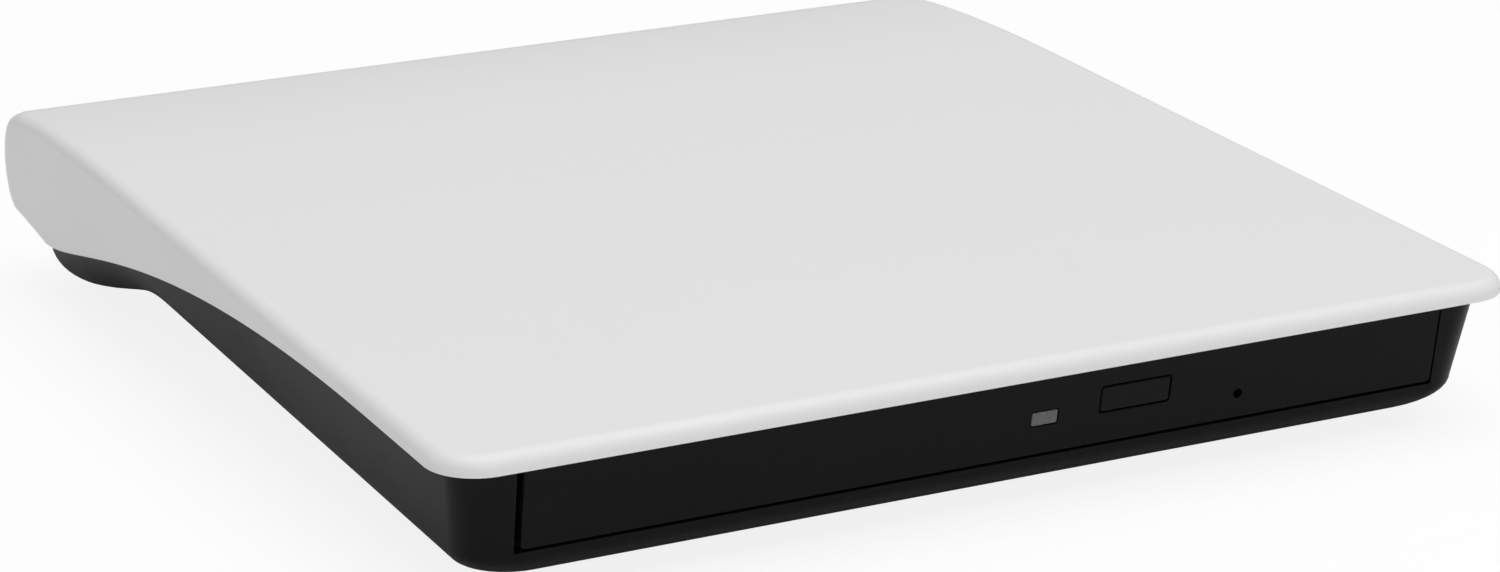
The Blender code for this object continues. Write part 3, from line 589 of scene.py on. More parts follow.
def floor_z(y):
    """Height of the base's outer floor: flat under the drive, then down into the rear lobe."""
    return BASE_FLOOR_Z - BASE_LOBE_DEPTH * smoothstep((y - BASE_LOBE_START_Y) / BASE_LOBE_LENGTH)


def edge_drop(distance, radius):
    """How far a rounded edge has fallen, at a distance in from its outer face."""
    inside = max(radius - distance, 0.0)
    return radius - math.sqrt(radius * radius - inside * inside)


def top_z(y):
    """The cover's top: flat, then drooping towards the nose."""
    run = NOSE_Y + NOSE_RADIUS * math.cos(math.radians(NOSE_JOIN_DEG)) - DROOP_START_Y
    return -DROOP * max(y - DROOP_START_Y, 0.0) ** 3 / run ** 3


def wing_edge():
    """The lower edge of the cover's side, from the front lip back to the nose."""
    after_start = (WING_START_Y + WING_FRONT_HANDLE, LIP_Z)
    before_end = (WING_END_Y - WING_REAR_HANDLE, WING_Z)
    return bezier((WING_START_Y, LIP_Z), after_start, before_end, (WING_END_Y, WING_Z), 64)


def cover_section(distance):
    """The cover's outline in (y, z) at a distance in from its end face."""
    corner = COVER_CORNER_RADIUS
    edge = COVER_EDGE_RADIUS
    fall = edge_drop(distance, edge)
    across = min(distance, corner)
    points = []
    for angle in np.linspace(0.0, 90.0, 11):
        inset = min(edge * (1.0 - math.cos(math.radians(angle))), distance)
        reach = math.sqrt(max((corner - inset) ** 2 - (corner - across) ** 2, 0.0))
        points.append((corner - reach, -edge_drop(inset, edge)))
    lip_y = points[0][0]
    for y in np.linspace(15.0, DROOP_START_Y - 5.0, 10):
        points.append((float(y), -fall))
    for y in np.linspace(DROOP_START_Y, NOSE_Y - 1.0, 28):
        points.append((float(y), top_z(y) - fall))
    radius = NOSE_RADIUS - fall
    rear = COVER_REAR_CORNER_RADIUS
    back = rear - math.sqrt(rear ** 2 - max(rear - distance, 0.0) ** 2)
    for angle in np.radians(np.linspace(NOSE_JOIN_DEG, -90.0, 40)):
        points.append((NOSE_Y + (radius - back) * math.cos(angle), NOSE_Z + radius * math.sin(angle)))
    points += reversed(wing_edge())
    points.append((lip_y, LIP_Z))
    return points


def cover_solid():
    """The cover's outer form, lofted from its left end face to its right."""
    steps = [COVER_EDGE_RADIUS * (1.0 - math.cos(math.radians(a))) for a in range(0, 91, 9)]
    steps += [2.4, 2.9, 3.5, 4.2, 5.0, 5.8, COVER_CORNER_RADIUS, 12.0, 24.0, 38.0, 56.0]
    sections = []
    for distance in steps:
        x = distance - COVER_HALF_WIDTH
        sections.append([(x, y, z) for y, z in cover_section(distance)])
    for section in reversed(sections[:]):
        sections.append([(-x, y, z) for x, y, z in section])
    return loft("cover_shell", sections, split=True)


def base_inset(depth):
    """Inset and nominal height of the base's wall at a depth fraction from rim (0) to floor (1)."""
    if depth <= WALL_SHARE:
        z = BASE_RIM_Z + (BASE_ROUND_START_Z - BASE_RIM_Z) * depth / WALL_SHARE
        return BASE_INSET - BASE_TAPER * z, z
    angle = math.radians(90.0) * (depth - WALL_SHARE) / (1.0 - WALL_SHARE)
    z = BASE_ROUND_START_Z + (BASE_FLOOR_Z - BASE_ROUND_START_Z) * math.sin(angle)
    start = BASE_INSET - BASE_TAPER * BASE_ROUND_START_Z
    return start + BASE_ROUND_WIDTH * (1.0 - math.cos(angle)), z


def ring(inset, radius):
    """Half of the base's plan outline at an inset, from its front middle round to its rear middle."""
    half = COVER_HALF_WIDTH - inset
    y0 = inset
    y1 = BASE_REAR_Y - inset
    points = [(0.0, y0), (half / 2, y0)]
    points += arc((half - radius, y0 + radius), radius, -90, 0, 12)
    points += [(half, float(y)) for y in (30.0, 55.0, 80.0, 98.0)]
    points += [(half, float(y)) for y in np.linspace(BASE_LOBE_START_Y, BASE_REAR_Y - 22.0, 20)]
    points += arc((half - radius, y1 - radius), radius, 0, 90, 12)
    points += [(half / 2, y1), (0.0, y1)]
    return points


def base_solid(name, wall, rim):
    """The base's form as one solid, offset inward by a wall, under a rim that follows y."""
    sections = []
    for depth in [0.0, 0.2, 0.4] + list(np.linspace(WALL_SHARE, 1.0, 15)):
        inset, nominal = base_inset(depth)
        share = (nominal - BASE_RIM_Z) / (BASE_FLOOR_Z - BASE_RIM_Z)
        radius = max(BASE_CORNER_RADIUS - wall + 0.3 * (inset - BASE_INSET), 1.0)
        section = []
        for x, y in ring(inset + wall, radius):
            top = rim(y)
            section.append((x, y, top + share * (floor_z(y) + max(wall, 0.0) - top)))
        mirrored = [(-x, y, z) for x, y, z in reversed(section[1:-1])]
        sections.append(section + mirrored)
    return capped_loft(name, sections)


def capped_loft(name, sections):
    """A loft of plan outlines whose ends are closed by strips from left to right."""
    form = bmesh.new()
    rows = strips(form, sections)
    count = len(rows[0])
    for row in (rows[0], rows[-1]):
        form.faces.new((row[0], row[1], row[-1]))
        for i in range(1, count // 2 - 1):
            form.faces.new((row[i], row[i + 1], row[count - i - 1], row[count - i]))
        form.faces.new((row[count // 2 - 1], row[count // 2], row[count // 2 + 1]))
    return cleaned(name, form, split=True)


def ceiling(y):
    """Highest a hollow may reach under the cover's skin."""
    if y < NOSE_Y:
        return min(LIP_Z, top_z(y) - COVER_SKIN) - 0.02
    radius = NOSE_RADIUS - COVER_SKIN
    return NOSE_Z + math.sqrt(max(radius ** 2 - (y - NOSE_Y) ** 2, 0.0)) - 0.02


def base_rim(y):
    """The base's rim, just under the cover's skin."""
    return min(BASE_RIM_Z, ceiling(y) - RIM_CLEARANCE)


def cover_cavity():
    """The hollow above the wings' ledge."""
    ledge = [(y, z + WING_LEDGE) for y, z in wing_edge() if z + WING_LEDGE < -COVER_SKIN - GAP]
    outline = [(ledge[0][0], -COVER_SKIN)]
    for y in np.linspace(DROOP_START_Y, NOSE_Y - 2.0, 20):
        outline.append((float(y), top_z(y) - COVER_SKIN))
    outline += arc((NOSE_Y, NOSE_Z), NOSE_RADIUS - COVER_SKIN, NOSE_JOIN_DEG, -90.0, 24)
    outline += reversed(ledge)
    inner = COVER_HALF_WIDTH - COVER_SKIN
    return prism("cover_hollow", outline, -inner, inner, "x")


def front_y(z):
    """The front plane of the base and bezel at a height."""
    return BASE_INSET - BASE_TAPER * z


def build_cover():
    """The white cover: one satin moulding."""
    cover = cover_solid()
    cut(cover, base_solid("cover_clearance", -RIM_CLEARANCE, ceiling), cover_cavity())
    port = rounded_rectangle((-4.25, -11.95), (4.25, -7.75), 0.9)
    cut(cover, prism("port_hole", port, NOSE_Y, NOSE_Y + 14.0, "y"))
    place(cover, SLAB, "case", WHITE, "cover_white", "top_cover", sharp_deg=40.0)


def build_base():
    """The black base: a tapered tub with a deep rear lobe."""
    base = base_solid("base_tub", 0.0, base_rim)
    low = (BEZEL_LEFT - BEZEL_GAP_LEFT, -3.0, BEZEL_BOTTOM - GAP)
    cutters = [
        base_solid("tub_inside", BASE_WALL, lambda y: base_rim(y) + 0.05),
        block("mouth", low, (BEZEL_RIGHT + BEZEL_GAP_RIGHT, 14.0, 2.0)),
        block("rear_opening", (-80.0, BASE_REAR_RIM_Y, BASE_REAR_RIM_Z), (80.0, 170.0, 2.0)),
    ]
    for side in (-1, 1):
        x, y = side * CASE_SCREW[0], CASE_SCREW[1]
        join(base, cylinder("boss", (x, y, -20.45), BOSS_RADIUS, 11.8))
        cutters.append(cylinder("counterbore", (x, y, -26.3), HEAD_HOLE_RADIUS, 9.4))
        cutters.append(cylinder("shank_hole", (x, y, -18.0), SHANK_HOLE_RADIUS, 10.0))
        for fx, fy in (FRONT_FOOT, REAR_FOOT):
            centre = (side * fx, fy, floor_z(fy) - 4.5)
            cutters.append(cylinder("foot_seat", centre, FOOT_RADIUS + GAP, 10.0))
    panel = rounded_rectangle((-34.0, 30.0), (34.0, 86.0), 3.0)
    cutters.append(prism("blank_label_panel", panel, BASE_FLOOR_Z - 2.0, BASE_FLOOR_Z + 0.35))
    cut(base, *cutters)
    place(base, SLAB, "case", BLACK, "case_black", "base_shell", sharp_deg=40.0)


# ---------- front panel


def outline_about(centre, size, radius, grow):
    """A rounded rectangle about a centre, made larger all round by a growth."""
    (cx, cz), (width, height) = centre, size
    low = (cx - width / 2 - grow, cz - height / 2 - grow)
    high = (cx + width / 2 + grow, cz + height / 2 + grow)
    return rounded_rectangle(low, high, max(radius + grow, 0.05), 7)


def front_block(name, centre, size, radius, rows, back):
    """A block behind the leaning front plane; rows are (depth behind the plane, outline growth)."""
    sections = []
    for depth, grow in rows:
        outline = outline_about(centre, size, radius, grow)
        sections.append([(x, front_y(z) + depth, z) for x, z in outline])
    sections.append([(x, back, z) for x, z in outline])
    return loft(name, sections)


def rounding(radius):
    """Rows for a rounded front edge, or for a rounded mouth when used on a hole."""
    angles = np.radians(np.linspace(0.0, 90.0, 6))
    return [(radius * (1.0 - math.cos(a)), -radius * (1.0 - math.sin(a))) for a in angles]


def mouth(name, centre, size, radius, flare):
    """A cutter for a hole in the front plane with a rounded mouth, through the panel's back."""
    rows = [(depth, -grow) for depth, grow in rounding(flare)]
    return front_block(name, centre, size, radius, [(-1.0, flare)] + rows, BEZEL_BACK_Y + 2.0)


def build_front():
    """The tray's front panel, its eject button and its activity window."""
    centre = ((BEZEL_LEFT + BEZEL_RIGHT) / 2, (BEZEL_TOP + BEZEL_BOTTOM) / 2)
    size = (BEZEL_RIGHT - BEZEL_LEFT, BEZEL_TOP - BEZEL_BOTTOM)
    bezel = front_block("front_panel", centre, size, 0.7, rounding(0.35), BEZEL_BACK_Y)
    button_size = [side + BUTTON_PLAY for side in BUTTON_SIZE]
    window_size = [side + LENS_WINDOW_PLAY for side in LENS_WINDOW_SIZE]
    pin = (2 * PINHOLE_RADIUS, 2 * PINHOLE_RADIUS)
    low = (BEZEL_LEFT + 3.0, BEZEL_BACK_Y - 2.6, BEZEL_BOTTOM + 1.6)
    high = (BUTTON_CENTRE[0] - 24.0, BEZEL_BACK_Y + 2.0, BEZEL_TOP - 1.8)
    cut(
        bezel,
        mouth("button_mouth", BUTTON_CENTRE, button_size, 0.5, 0.14),
        mouth("window_mouth", LENS_WINDOW_CENTRE, window_size, 0.3, 0.10),
        mouth("pin_mouth", PINHOLE_CENTRE, pin, PINHOLE_RADIUS - 0.01, 0.10),
        block("panel_pocket", low, high),
    )
    place(bezel, SLAB, "tray", BLACK, "case_black", "tray_bezel", sharp_deg=40.0)

    button = front_block("eject_key", BUTTON_CENTRE, BUTTON_SIZE, 0.4, rounding(0.25), 6.4)
    x, z = BUTTON_CENTRE
    join(button, block("key_stem", (x - 1.2, 5.5, z - 1.5), (x + 1.2, 8.7, z)))
    place(button, SLAB, "button", GLOSS_BLACK, "case_black", "eject_button", sharp_deg=40.0)
    window = front_block("activity_window", LENS_WINDOW_CENTRE, LENS_WINDOW_SIZE, 0.2, rounding(0.12), 8.9)
    place(window, SLAB, "tray", WINDOW, "lens_grey", "activity_lens", sharp_deg=40.0)


# ---------- feet, screws and socket


def build_feet():
    """Rubber feet: rounded pads with a shallow dish underneath."""
    for name in ("foot_front_left", "foot_front_right", "foot_rear_left", "foot_rear_right"):
        low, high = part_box(name)
        x, y = ((low[i] + high[i]) / 2 / MM for i in (0, 1))
        bottom, top = low[2] / MM, high[2] / MM
        radius = (high[0] - low[0]) / 2 / MM
        profile = [(0.0, top)] + arc((radius - 0.2, top - 0.2), 0.2, 90.0, 0.0, 4)
        profile += arc((radius - 0.6, bottom + 0.6), 0.6, 0.0, -90.0, 8)
        profile += [(radius - 1.1, bottom), (radius - 1.4, bottom + 0.12), (0.0, bottom + 0.16)]
        foot = turned("rubber_" + name, profile, (x, y, 0.0))
        place(foot, WORLD, "case", RUBBER, "foot_rubber", name)


def cross_recess(centre, length, width, low, high):
    """A cutter for a cross-shaped driver recess."""
    x, y = centre
    bar = block("recess", (x - length, y - width, low), (x + length, y + width, high))
    return join(bar, block("recess_arm", (x - width, y - length, low), (x + width, y + length, high)))


def build_case_screws():
    """The two screws that hold the cover: threaded shanks and domed heads with a cross recess."""
    for side, hand in ((-1, "left"), (1, "right")):
        x, y = side * CASE_SCREW[0], CASE_SCREW[1]
        profile = [(0.0, -9.0), (0.6, -9.0)]
        for z in np.arange(-9.4, -20.9, -0.5):
            profile += [(0.8, z + 0.25), (1.0, z)]
        profile += [(0.95, -21.9)] + arc((2.2, -22.2), 0.3, 90.0, 0.0, 4)
        profile += arc((1.7, -22.6), 0.8, 0.0, -80.0, 6) + [(0.0, -23.4)]
        screw = turned(f"screw_{hand}", profile, (x, y, 0.0), 48)
        cut(screw, cross_recess((x, y), 1.35, 0.3, -24.0, -22.6))
        place(screw, SLAB, "case", ZINC, "plated_steel", f"case_screw_{hand}")


def merged(name, pieces):
    """Separate small solids made one object."""
    form = bmesh.new()
    for piece in pieces:
        form.from_mesh(piece.data)
        remove(piece)
    return new_object(name, form)


def build_socket():
    """The computer socket in the nose: a folded shell, its tongue and five gilded contacts."""
    shell = prism("socket_shell", outline_about(SOCKET_CENTRE, (7.7, 3.7), 0.9, 0.0), 156.2, 166.1, "y")
    cut(shell, prism("bore", outline_about(SOCKET_CENTRE, (6.9, 2.9), 0.6, 0.0), 157.2, 168.1, "y"))
    cut(shell, *[block("spring_slot", (x - 0.6, 159.0, -8.7), (x + 0.6, 163.0, -7.5)) for x in (-1.9, 1.9)])
    place(shell, SLAB, "case", ZINC, "plated_steel", "usb_socket", sharp_deg=40.0)
    tongue = block("socket_tongue", (-2.2, 157.5, -10.3), (2.2, 165.2, -9.3))
    soften(tongue, 0.18)
    place(tongue, SLAB, "case", CONNECTOR, "connector_black", "usb_tongue")
    contacts = []
    for number in range(-2, 3):
        x = number * 0.8
        contacts.append(block("contact", (x - 0.17, 158.2, -10.36), (x + 0.17, 164.8, -10.28)))
    place(merged("socket_contacts", contacts), SLAB, "case", GOLD, "bright_steel")


# ---------- boards

RESISTOR = (1.6, 0.8, 0.6)


def chip(name, centre, size, legs):
    """A chip body with a bevelled top and a dimple, and its legs along two sides."""
    x, y, z = centre
    w, d, h = size
    body = block(name, (x - w / 2, y - d / 2, z + 0.08), (x + w / 2, y + d / 2, z + h))
    soften(body, 0.14, 2)
    cut(body, cylinder(name + "_dimple", (x - w / 2 + 0.9, y - d / 2 + 0.9, z + h), 0.35, 0.16, sides=20))
    pins = []
    for i in range(legs):
        px = x - w / 2 + (i + 0.5) * w / legs
        for side in (-1, 1):
            low_y, high_y = sorted((y + side * (d / 2 - 0.1), y + side * (d / 2 + 0.75)))
            pins.append(block(name + "_leg", (px - 0.13, low_y, z + 0.02), (px + 0.13, high_y, z + 0.16)))
    return body, merged(name + "_legs", pins)


def scatter(name, spots, z, up=1.0):
    """Small surface parts at spots given as (x, y, width, depth, height)."""
    made = []
    for x, y, w, d, h in spots:
        z0, z1 = sorted((z, z + up * h))
        made.append(soften(block(name, (x - w / 2, y - d / 2, z0), (x + w / 2, y + d / 2, z1)), 0.08, 2))
    return merged(name, made)


def build_boards():
    """Chips and passives on the three boards."""
    body, legs = chip("bridge_controller", (6.5, 147.5, -12.0), (7.0, 5.4, 1.2), 9)
    place(body, SLAB, "case", CONNECTOR, "connector_black", "bridge_chip")
    place(legs, SLAB, "case", BRIGHT, "bright_steel")
    spots = [(-6.0, 146.0, 1.6, 0.8, 0.7), (-6.0, 149.5, 1.6, 0.8, 0.7), (-10.5, 147.0, 3.2, 1.6, 1.3)]
    spots += [(14.0, y, 1.0, 0.5, 0.5) for y in (144.5, 147.0, 149.5)]
    spots += [(18.5, 147.0, 3.4, 2.6, 1.1), (-20.0, 146.5, 5.0, 3.2, 0.9), (24.0, 145.0, *RESISTOR)]
    place(scatter("bridge_passives", spots, -12.0), SLAB, "case", CAPACITOR, "die_cast")
    spots = [(-30.0, 119.0, 6.0, 6.0, 0.9), (-10.0, 120.0, *RESISTOR), (-10.0, 124.0, *RESISTOR),
             (6.0, 121.0, 9.0, 9.0, 1.0), (20.0, 118.0, 4.0, 3.0, 0.9), (30.0, 124.0, *RESISTOR)]
    place(scatter("drive_chips", spots, -14.1), SLAB, "case", CONNECTOR, "connector_black")
    spots = [(9.0, 18.0, 5.0, 4.0, 0.8), (15.0, 26.0, *RESISTOR), (22.0, 22.0, 6.0, 5.0, 0.9),
             (31.0, 18.0, 3.0, 2.4, 0.8), (31.0, 25.0, *RESISTOR), (9.0, 25.5, *RESISTOR)]
    place(scatter("tray_chips", spots, -12.7, -1.0), SLAB, "tray", CONNECTOR, "connector_black")


# ---------- tray


def mechanism_outline(inset):
    """Outline of the steel plate over the mechanism, in the mechanism's frame."""
    points = arc((0.0, 0.0), 18.0 - inset, 170.0, 370.0, 49)
    points += arc((11.0, 53.2), 6.0 - inset, 0.0, 90.0, 10)
    points += arc((-11.0, 53.2), 6.0 - inset, 90.0, 180.0, 10)
    return points


def in_slab(piece):
    """A piece made in the mechanism's frame, moved to the slab's."""
    piece.data.transform(SLAB.inverted() @ MECHANISM)
    return piece


def build_tray():
    """The disc tray: stepped recesses for both disc sizes over a ribbed skirt."""
    low = (DRIVE_X - TRAY_PLATE_HALF, TRAY_FRONT_Y)
    high = (DRIVE_X + TRAY_PLATE_HALF, TRAY_BACK_Y)
    tray = prism("tray_moulding", rounded_rectangle(low, high, 3.0), TRAY_PLATE_BOTTOM_Z, TRAY_RIM_TOP_Z)
    soften(tray, 0.25)
    recess = [(0.0, -3.6), (61.0, -3.6), (60.95, -4.6), (60.78, -4.68), (60.6, -4.9), (60.6, -6.35),
              (60.52, -6.53), (60.3, -6.6), (41.35, -6.6), (41.1, -6.68), (41.0, -6.9),
              (40.9, -7.0), (40.7, -7.02), (0.0, -7.02)]
    cut(tray, turned("disc_recesses", recess, (*SPINDLE, 0.0), 192))
    left, right = DRIVE_X - TRAY_BODY_HALF, DRIVE_X + TRAY_BODY_HALF
    low, high = (left, TRAY_FRONT_Y), (right, TRAY_BODY_BACK_Y)
    skirt = prism("tray_skirt", rounded_rectangle(low, high, 1.2), TRAY_BOTTOM_Z, -7.2)
    inner = ((left + TRAY_WALL, TRAY_FRONT_Y + TRAY_WALL), (right - TRAY_WALL, TRAY_BODY_BACK_Y - TRAY_WALL))
    cut(skirt, prism("skirt_pocket", rounded_rectangle(*inner, 0.8), -16.0, -5.0))
    solids = [skirt]
    for side in (-1, 1):
        a, b = sorted((DRIVE_X + side * (TRAY_BODY_HALF - 1.0), DRIVE_X + side * 60.3))
        solids.append(soften(block("rail_tongue", (a, 20.0, -11.2), (b, 124.0, -9.8)), 0.2))
    for x in (30.0, 44.0):
        solids.append(block("long_rib", (x - 0.5, 40.0, -8.9), (x + 0.5, 124.4, -7.3)))
    for y in (52.0, 82.0, 106.0):
        solids.append(block("cross_rib", (27.0, y - 0.5, -8.7), (right - 0.8, y + 0.5, -7.35)))
    for x in (-44.0, -30.0):
        solids.append(block("left_rib", (x - 0.5, 92.0, -8.8), (x + 0.5, 124.3, -7.4)))
    join(tray, *solids)
    notch = (LATCH_PIN_X - 2.5, 120.0, -16.0)
    x, z = PINHOLE_CENTRE
    cut(
        tray,
        in_slab(prism("mechanism_opening", mechanism_outline(0.0), -9.5, -5.0)),
        block("front_window", (2.0, 6.0, -11.5), (26.0, 10.0, TRAY_PLATE_BOTTOM_Z)),
        cylinder("pin_way", (x, 8.0, z), 1.0, 6.0, "y", 24),
        block("pin_notch", notch, (LATCH_PIN_X + 2.5, 127.0, -10.9)),
    )
    place(tray, SLAB, "tray", TRAY, "tray_black", "disc_tray", "tray_rim", sharp_deg=30.0)


def small_screw(x, y):
    """One of the plate's flat-headed screws, with a cross recess."""
    radius, z = PLATE_SCREW_RADIUS, PLATE_SCREW_TOP_Z
    profile = [(0.0, z), (radius - 0.25, z), (radius - 0.06, z - 0.08), (radius, z - 0.28), (0.0, z - 0.3)]
    screw = turned("plate_screw", profile, (x, y, 0.0), 40)
    return cut(screw, cross_recess((x, y), radius * 0.55, 0.17, z - 0.2, z + 1.0))


def build_plate():
    """The steel plate round the pickup's way, with its four screws."""
    plate = prism("pickup_cover_plate", mechanism_outline(GAP), -7.4, -6.8)
    way = rounded_rectangle((-6.6, 12.0), (6.6, 57.9), 3.0, 10)
    cut(plate, cylinder("hub_way", (0.0, 0.0, -7.1), 14.2, 4.0, sides=96), prism("lens_way", way, -9.0, -5.0))
    for side in (-1, 1):
        groove = rounded_rectangle((side * 11.7 - 0.5, 22.0), (side * 11.7 + 0.5, 44.0), 0.49, 5)
        cut(plate, prism("stiffening_groove", groove, -6.95, -6.0))
    soften(plate, 0.06, 2)
    place(plate, MECHANISM, "tray", BRUSHED, "bright_steel", "mechanism_plate", sharp_deg=30.0)
    spots = ((-12.0, 51.5), (12.0, 51.5), (-13.2, 17.0), (13.2, 17.0))
    heads = [small_screw(x, y) for x, y in spots]
    place(merged("plate_screws", heads), MECHANISM, "tray", BRIGHT, "bright_steel")


def about_hub(piece, number, angle_deg):
    """A piece turned about the hub's axis to a claw's place, and on by an angle."""
    turn = math.radians(120.0 * number + angle_deg)
    piece.data.transform(Matrix.Rotation(turn, 4, "Z"))
    return piece


def build_hub():
    """The disc hub with its three claws and its rubber seat ring."""
    profile = [(0.0, -4.35), (1.5, -4.35), (1.7, -4.1), (5.1, -4.1), (5.4, -4.16), (6.8, -4.66),
               (7.0, -4.85), (7.2, -6.6), (13.4, -6.6), (13.6, -6.78), (13.6, -7.25), (13.4, -7.32),
               (11.2, -7.5), (11.2, -11.5), (10.2, -11.5), (10.2, -8.2), (1.3, -8.2), (1.3, -7.6),
               (0.0, -7.6)]
    hub = turned("spindle_hub", profile, sides=120)
    slots = []
    for number in CLAW_NUMBERS:
        slot = block("claw_slot", (-1.3, 3.6, -5.8), (1.3, 9.0, -3.0))
        groove = block("key_groove", (-0.35, 5.6, -5.0), (0.35, 6.3, -3.0))
        slots += [about_hub(slot, number, -90.0), about_hub(groove, number, -30.0)]
    cut(hub, *slots)
    place(hub, MECHANISM, "hub", TRAY, "tray_black", "disc_hub", sharp_deg=30.0)
    tip = [(3.9, -5.5), (6.9, -5.5), (7.1, -5.42), (7.35, -5.2), (7.75, -4.75), (7.88, -4.6), (7.9, -4.53),
           (7.8, -4.47), (7.3, -4.4), (5.2, -4.4), (4.8, -4.46), (3.9, -4.46)]
    for number in CLAW_NUMBERS:
        claw = soften(prism(f"claw_{number}", tip, -1.0, 1.0, "x"), 0.12, 2)
        about_hub(claw, number, -90.0)
        place(claw, MECHANISM, "hub", CLAW, "lens_grey", f"hub_claw_{number}")
    profile = [(9.75, -5.9), (13.05, -5.9), (13.2, -6.0), (13.2, -6.3), (9.6, -6.3), (9.6, -6.0)]
    seat = turned("disc_seat_ring", profile, sides=120)
    place(seat, MECHANISM, "hub", RUBBER, "foot_rubber", "turntable_ring")


def build_pickup():
    """The objective lens in its carrier, between two focus coils."""
    y = PICKUP_START
    profile = [(0.0, -6.8)]
    for angle in np.radians(np.linspace(8, 90, 16)):
        profile.append((LENS_RADIUS * math.sin(angle), -7.5 + 0.7 * math.cos(angle)))
    profile += [(LENS_RADIUS, -7.9), (0.0, -7.9)]
    lens = turned("objective", profile, (0.0, y, 0.0), 96)
    place(lens, MECHANISM, "lens", OPTIC, "optic", "objective_lens", sharp_deg=50.0)
    carrier = block("lens_carrier", (-4.4, y - 3.2, -10.1), (4.4, y + 3.2, -7.4))
    soften(carrier, 0.35)
    seat = [(0.0, -6.0), (3.1, -6.0), (2.5, -7.85), (2.5, -8.2), (0.0, -8.2)]
    cutters = [turned("carrier_seat", seat, (0.0, y, 0.0), 72)]
    coils = []
    for side in (-1, 1):
        x = side * 3.6
        cutters.append(block("coil_gap", (x - 0.35, y - 2.2, -8.9), (x + 0.35, y + 2.2, -6.0)))
        coil = block("coil", (x - 0.27, y - 2.1, -8.8), (x + 0.27, y + 2.1, -7.55))
        coils.append(soften(coil, 0.12, 2))
    cut(carrier, *cutters)
    place(carrier, MECHANISM, "lens", CONNECTOR, "connector_black", "lens_holder")
    place(merged("focus_coils", coils), MECHANISM, "lens", COPPER, "bright_steel")


def build_feed_screw():
    """The feed screw, cut with a thread whose pitch the coupling gives, and its motor."""
    pitch = 2.0 * math.pi / abs(COUPLED["feed_screw_turn"]) / MM
    sides = 28
    count = int(FEED_SCREW_LENGTH / 0.16)
    sections = []
    for row in range(count + 1):
        along = FEED_SCREW_LENGTH * row / count
        ends = min(along, FEED_SCREW_LENGTH - along)
        section = []
        for i in range(sides):
            angle = 2.0 * math.pi * i / sides
            phase = (along / pitch - i / sides) % 1.0
            depth = THREAD_DEPTH * max(0.0, 1.0 - abs(phase - 0.5) / 0.28) * min(ends / 2.0, 1.0)
            reach = FEED_SCREW_RADIUS - depth - max(0.25 - ends, 0.0)
            x = FEED_SCREW_X + reach * math.cos(angle)
            section.append((x, FEED_SCREW_START + along, FEED_SCREW_Z + reach * math.sin(angle)))
        sections.append(section)
    screw = loft("threaded_screw", sections)
    place(screw, MECHANISM, "screw", BRIGHT, "bright_steel", "feed_screw", sharp_deg=60.0)
    profile = [(0.0, -5.8), (1.9, -5.8), (2.2, -5.55), (2.3, -5.2), (2.3, 3.9), (2.1, 4.1), (2.1, 4.5),
               (2.3, 4.7), (2.3, 5.5), (2.1, 5.8), (0.9, 5.8), (0.0, 5.8)]
    motor = turned("stepper_can", profile, sides=64)
    centre = Matrix.Translation((FEED_SCREW_X, FEED_MOTOR_Y, FEED_SCREW_Z))
    motor.data.transform(centre @ Matrix.Rotation(math.radians(-90.0), 4, "X"))
    place(motor, MECHANISM, "tray", ZINC, "plated_steel", "feed_motor", sharp_deg=30.0)


# ---------- carried-over parts


def dress(material, width, *names):
    """Finish parts kept from the frame: a material, rounded edges and even shading."""
    for name in names:
        part = frame["nodes"][name]
        part.data.materials.clear()
        part.data.materials.append(material)
        part.data.shade_smooth()
        weld = part.modifiers.new("weld", "WELD")
        weld.merge_threshold = 0.000001
        step = part.modifiers.new("rounding", "BEVEL")
        step.width = width * MM
        step.segments = 2
        step.limit_method = "ANGLE"
        step.angle_limit = math.radians(38.0)
        part.modifiers.new("face_weighted_normals", "WEIGHTED_NORMAL")


def dress_all():
    """Materials and rounded edges for the inner parts."""
    dress(ZINC, 0.15, "drive_chassis", "drive_lid", "mechanism_frame", "latch_lever", "spindle_motor")
    dress(BRIGHT, 0.15, "slide_rail_left", "slide_rail_right", "guide_rod_front", "guide_rod_rear")
    dress(BRIGHT, 0.12, "latch_pin", "latch_pivot_pin", "solenoid_plunger")
    dress(CAST, 0.25, "pickup_sled", "latch_solenoid")
    dress(FIXED_RAIL, 0.2, "chassis_rail_left", "chassis_rail_right", "ejector_guide", "ejector_pusher")
    dress(CONNECTOR, 0.18, "sata_plug", "sata_socket", "eject_switch")
    dress(BOARD, 0.08, "bridge_board", "drive_board", "tray_board")
    dress(FILM, 0.03, "tray_ribbon")
    dress(WINDOW, 0.12, "status_led")


build_cover()
build_base()
build_front()
build_feet()
build_case_screws()
build_socket()
build_boards()
build_tray()
build_plate()
build_hub()
build_pickup()
build_feed_screw()
dress_all()


# ---------- camera, floor and light

CAMERA_PLACE = (-245.954, -411.329, 177.955)
CAMERA_YAW = 27.0474
CAMERA_PITCH = 19.3618
CAMERA_ROLL = -0.435
CAMERA_LENS = 102.579
FLOOR_GLOW = 0.86  # share of even white in what the camera sees of the floor


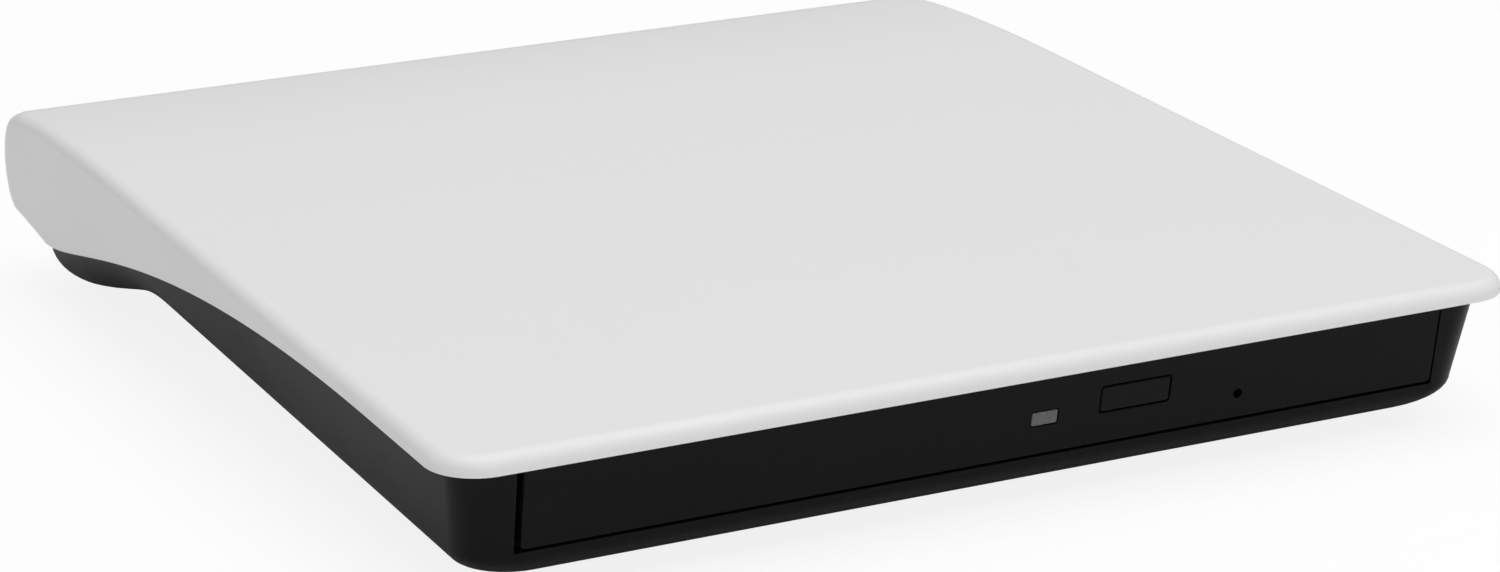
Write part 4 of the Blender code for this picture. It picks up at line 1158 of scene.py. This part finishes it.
def build_camera():
    """The camera, aimed in the slab frame."""
    yaw, pitch, roll = (math.radians(v) for v in (CAMERA_YAW, CAMERA_PITCH, CAMERA_ROLL))
    forward = Vector((math.sin(yaw) * math.cos(pitch), math.cos(yaw) * math.cos(pitch), -math.sin(pitch)))
    right = Vector((math.cos(yaw), -math.sin(yaw), 0.0))
    down = forward.cross(right)
    rolled_right = right * math.cos(roll) + down * math.sin(roll)
    rolled_down = down * math.cos(roll) - right * math.sin(roll)
    data = bpy.data.cameras.new("camera")
    data.sensor_width = 36.0
    data.lens = CAMERA_LENS
    data.clip_start = 0.01
    data.clip_end = 50.0
    camera = linked("camera", data)
    aim = rigid(rolled_right, -rolled_down, -forward, (0.0, 0.0, 0.0))
    camera.matrix_world = Matrix.Translation(SLAB @ Vector(CAMERA_PLACE)) @ SLAB_ROTATION @ aim
    bpy.context.scene.camera = camera


def build_floor():
    """A plain pale floor with a faint shadow; from below it is clear, to show the underside."""
    form = bmesh.new()
    bmesh.ops.create_circle(form, cap_ends=True, segments=96, radius=9.0)
    floor = new_object("floor", form)
    look = Look("pale_floor", (0.90, 0.90, 0.90), 0.6, specular=0.2)
    look.rough(look.noise(40.0), 0.5, 0.7)
    glow = look.node("ShaderNodeEmission").outputs["Emission"]
    seen = look.combine(look.node("ShaderNodeLightPath").outputs["Is Camera Ray"], FLOOR_GLOW, "MULTIPLY")
    above = look.mixed(seen, look.shader.outputs["BSDF"], glow)
    clear = look.node("ShaderNodeBsdfTransparent").outputs["BSDF"]
    below = look.node("ShaderNodeNewGeometry").outputs["Backfacing"]
    surface = look.tree.nodes["Material Output"].inputs["Surface"]
    look.link(look.mixed(below, above, clear), surface)
    floor.data.materials.append(look.material)


def area_light(name, place_m, aim_m, size, power, shadow=True):
    """A soft rectangular light."""
    data = bpy.data.lights.new(name, "AREA")
    data.shape = "RECTANGLE"
    data.size, data.size_y = size
    data.energy = power
    data.use_shadow = shadow
    lamp = linked(name, data)
    lamp.location = place_m
    lamp.rotation_mode = "QUATERNION"
    lamp.rotation_quaternion = (Vector(aim_m) - Vector(place_m)).to_track_quat("-Z", "Y")


def build_light():
    """A soft studio: a big light overhead and a pale room that dims towards the horizon."""
    world = bpy.data.worlds.new("pale_room")
    bpy.context.scene.world = world
    world.use_nodes = True
    nodes, links = world.node_tree.nodes, world.node_tree.links
    split = nodes.new("ShaderNodeSeparateXYZ")
    links.new(nodes.new("ShaderNodeNewGeometry").outputs["Incoming"], split.inputs[0])
    dim = nodes.new("ShaderNodeMapRange")
    fill(dim, {"From Min": -0.55, "From Max": 0.0, "To Min": 0.51, "To Max": 0.20})
    links.new(split.outputs["Z"], dim.inputs["Value"])
    links.new(dim.outputs["Result"], nodes["Background"].inputs["Strength"])
    fill(nodes["Background"], {"Color": (1.0, 1.0, 1.0, 1.0)})
    area_light("overhead", (0.1, -0.35, 1.5), (0.0, 0.0, 0.0), (1.5, 1.5), 18.0)
    area_light("low_front", (0.5, -1.6, 0.30), (0.0, 0.0, 0.01), (1.6, 0.3), 1.6)
    area_light("underneath", (0.0, 0.0, -1.2), (0.0, 0.0, 0.0), (1.0, 1.0), 6.0, shadow=False)
    bpy.context.scene.view_settings.view_transform = "Standard"


build_camera()
build_floor()
build_light()
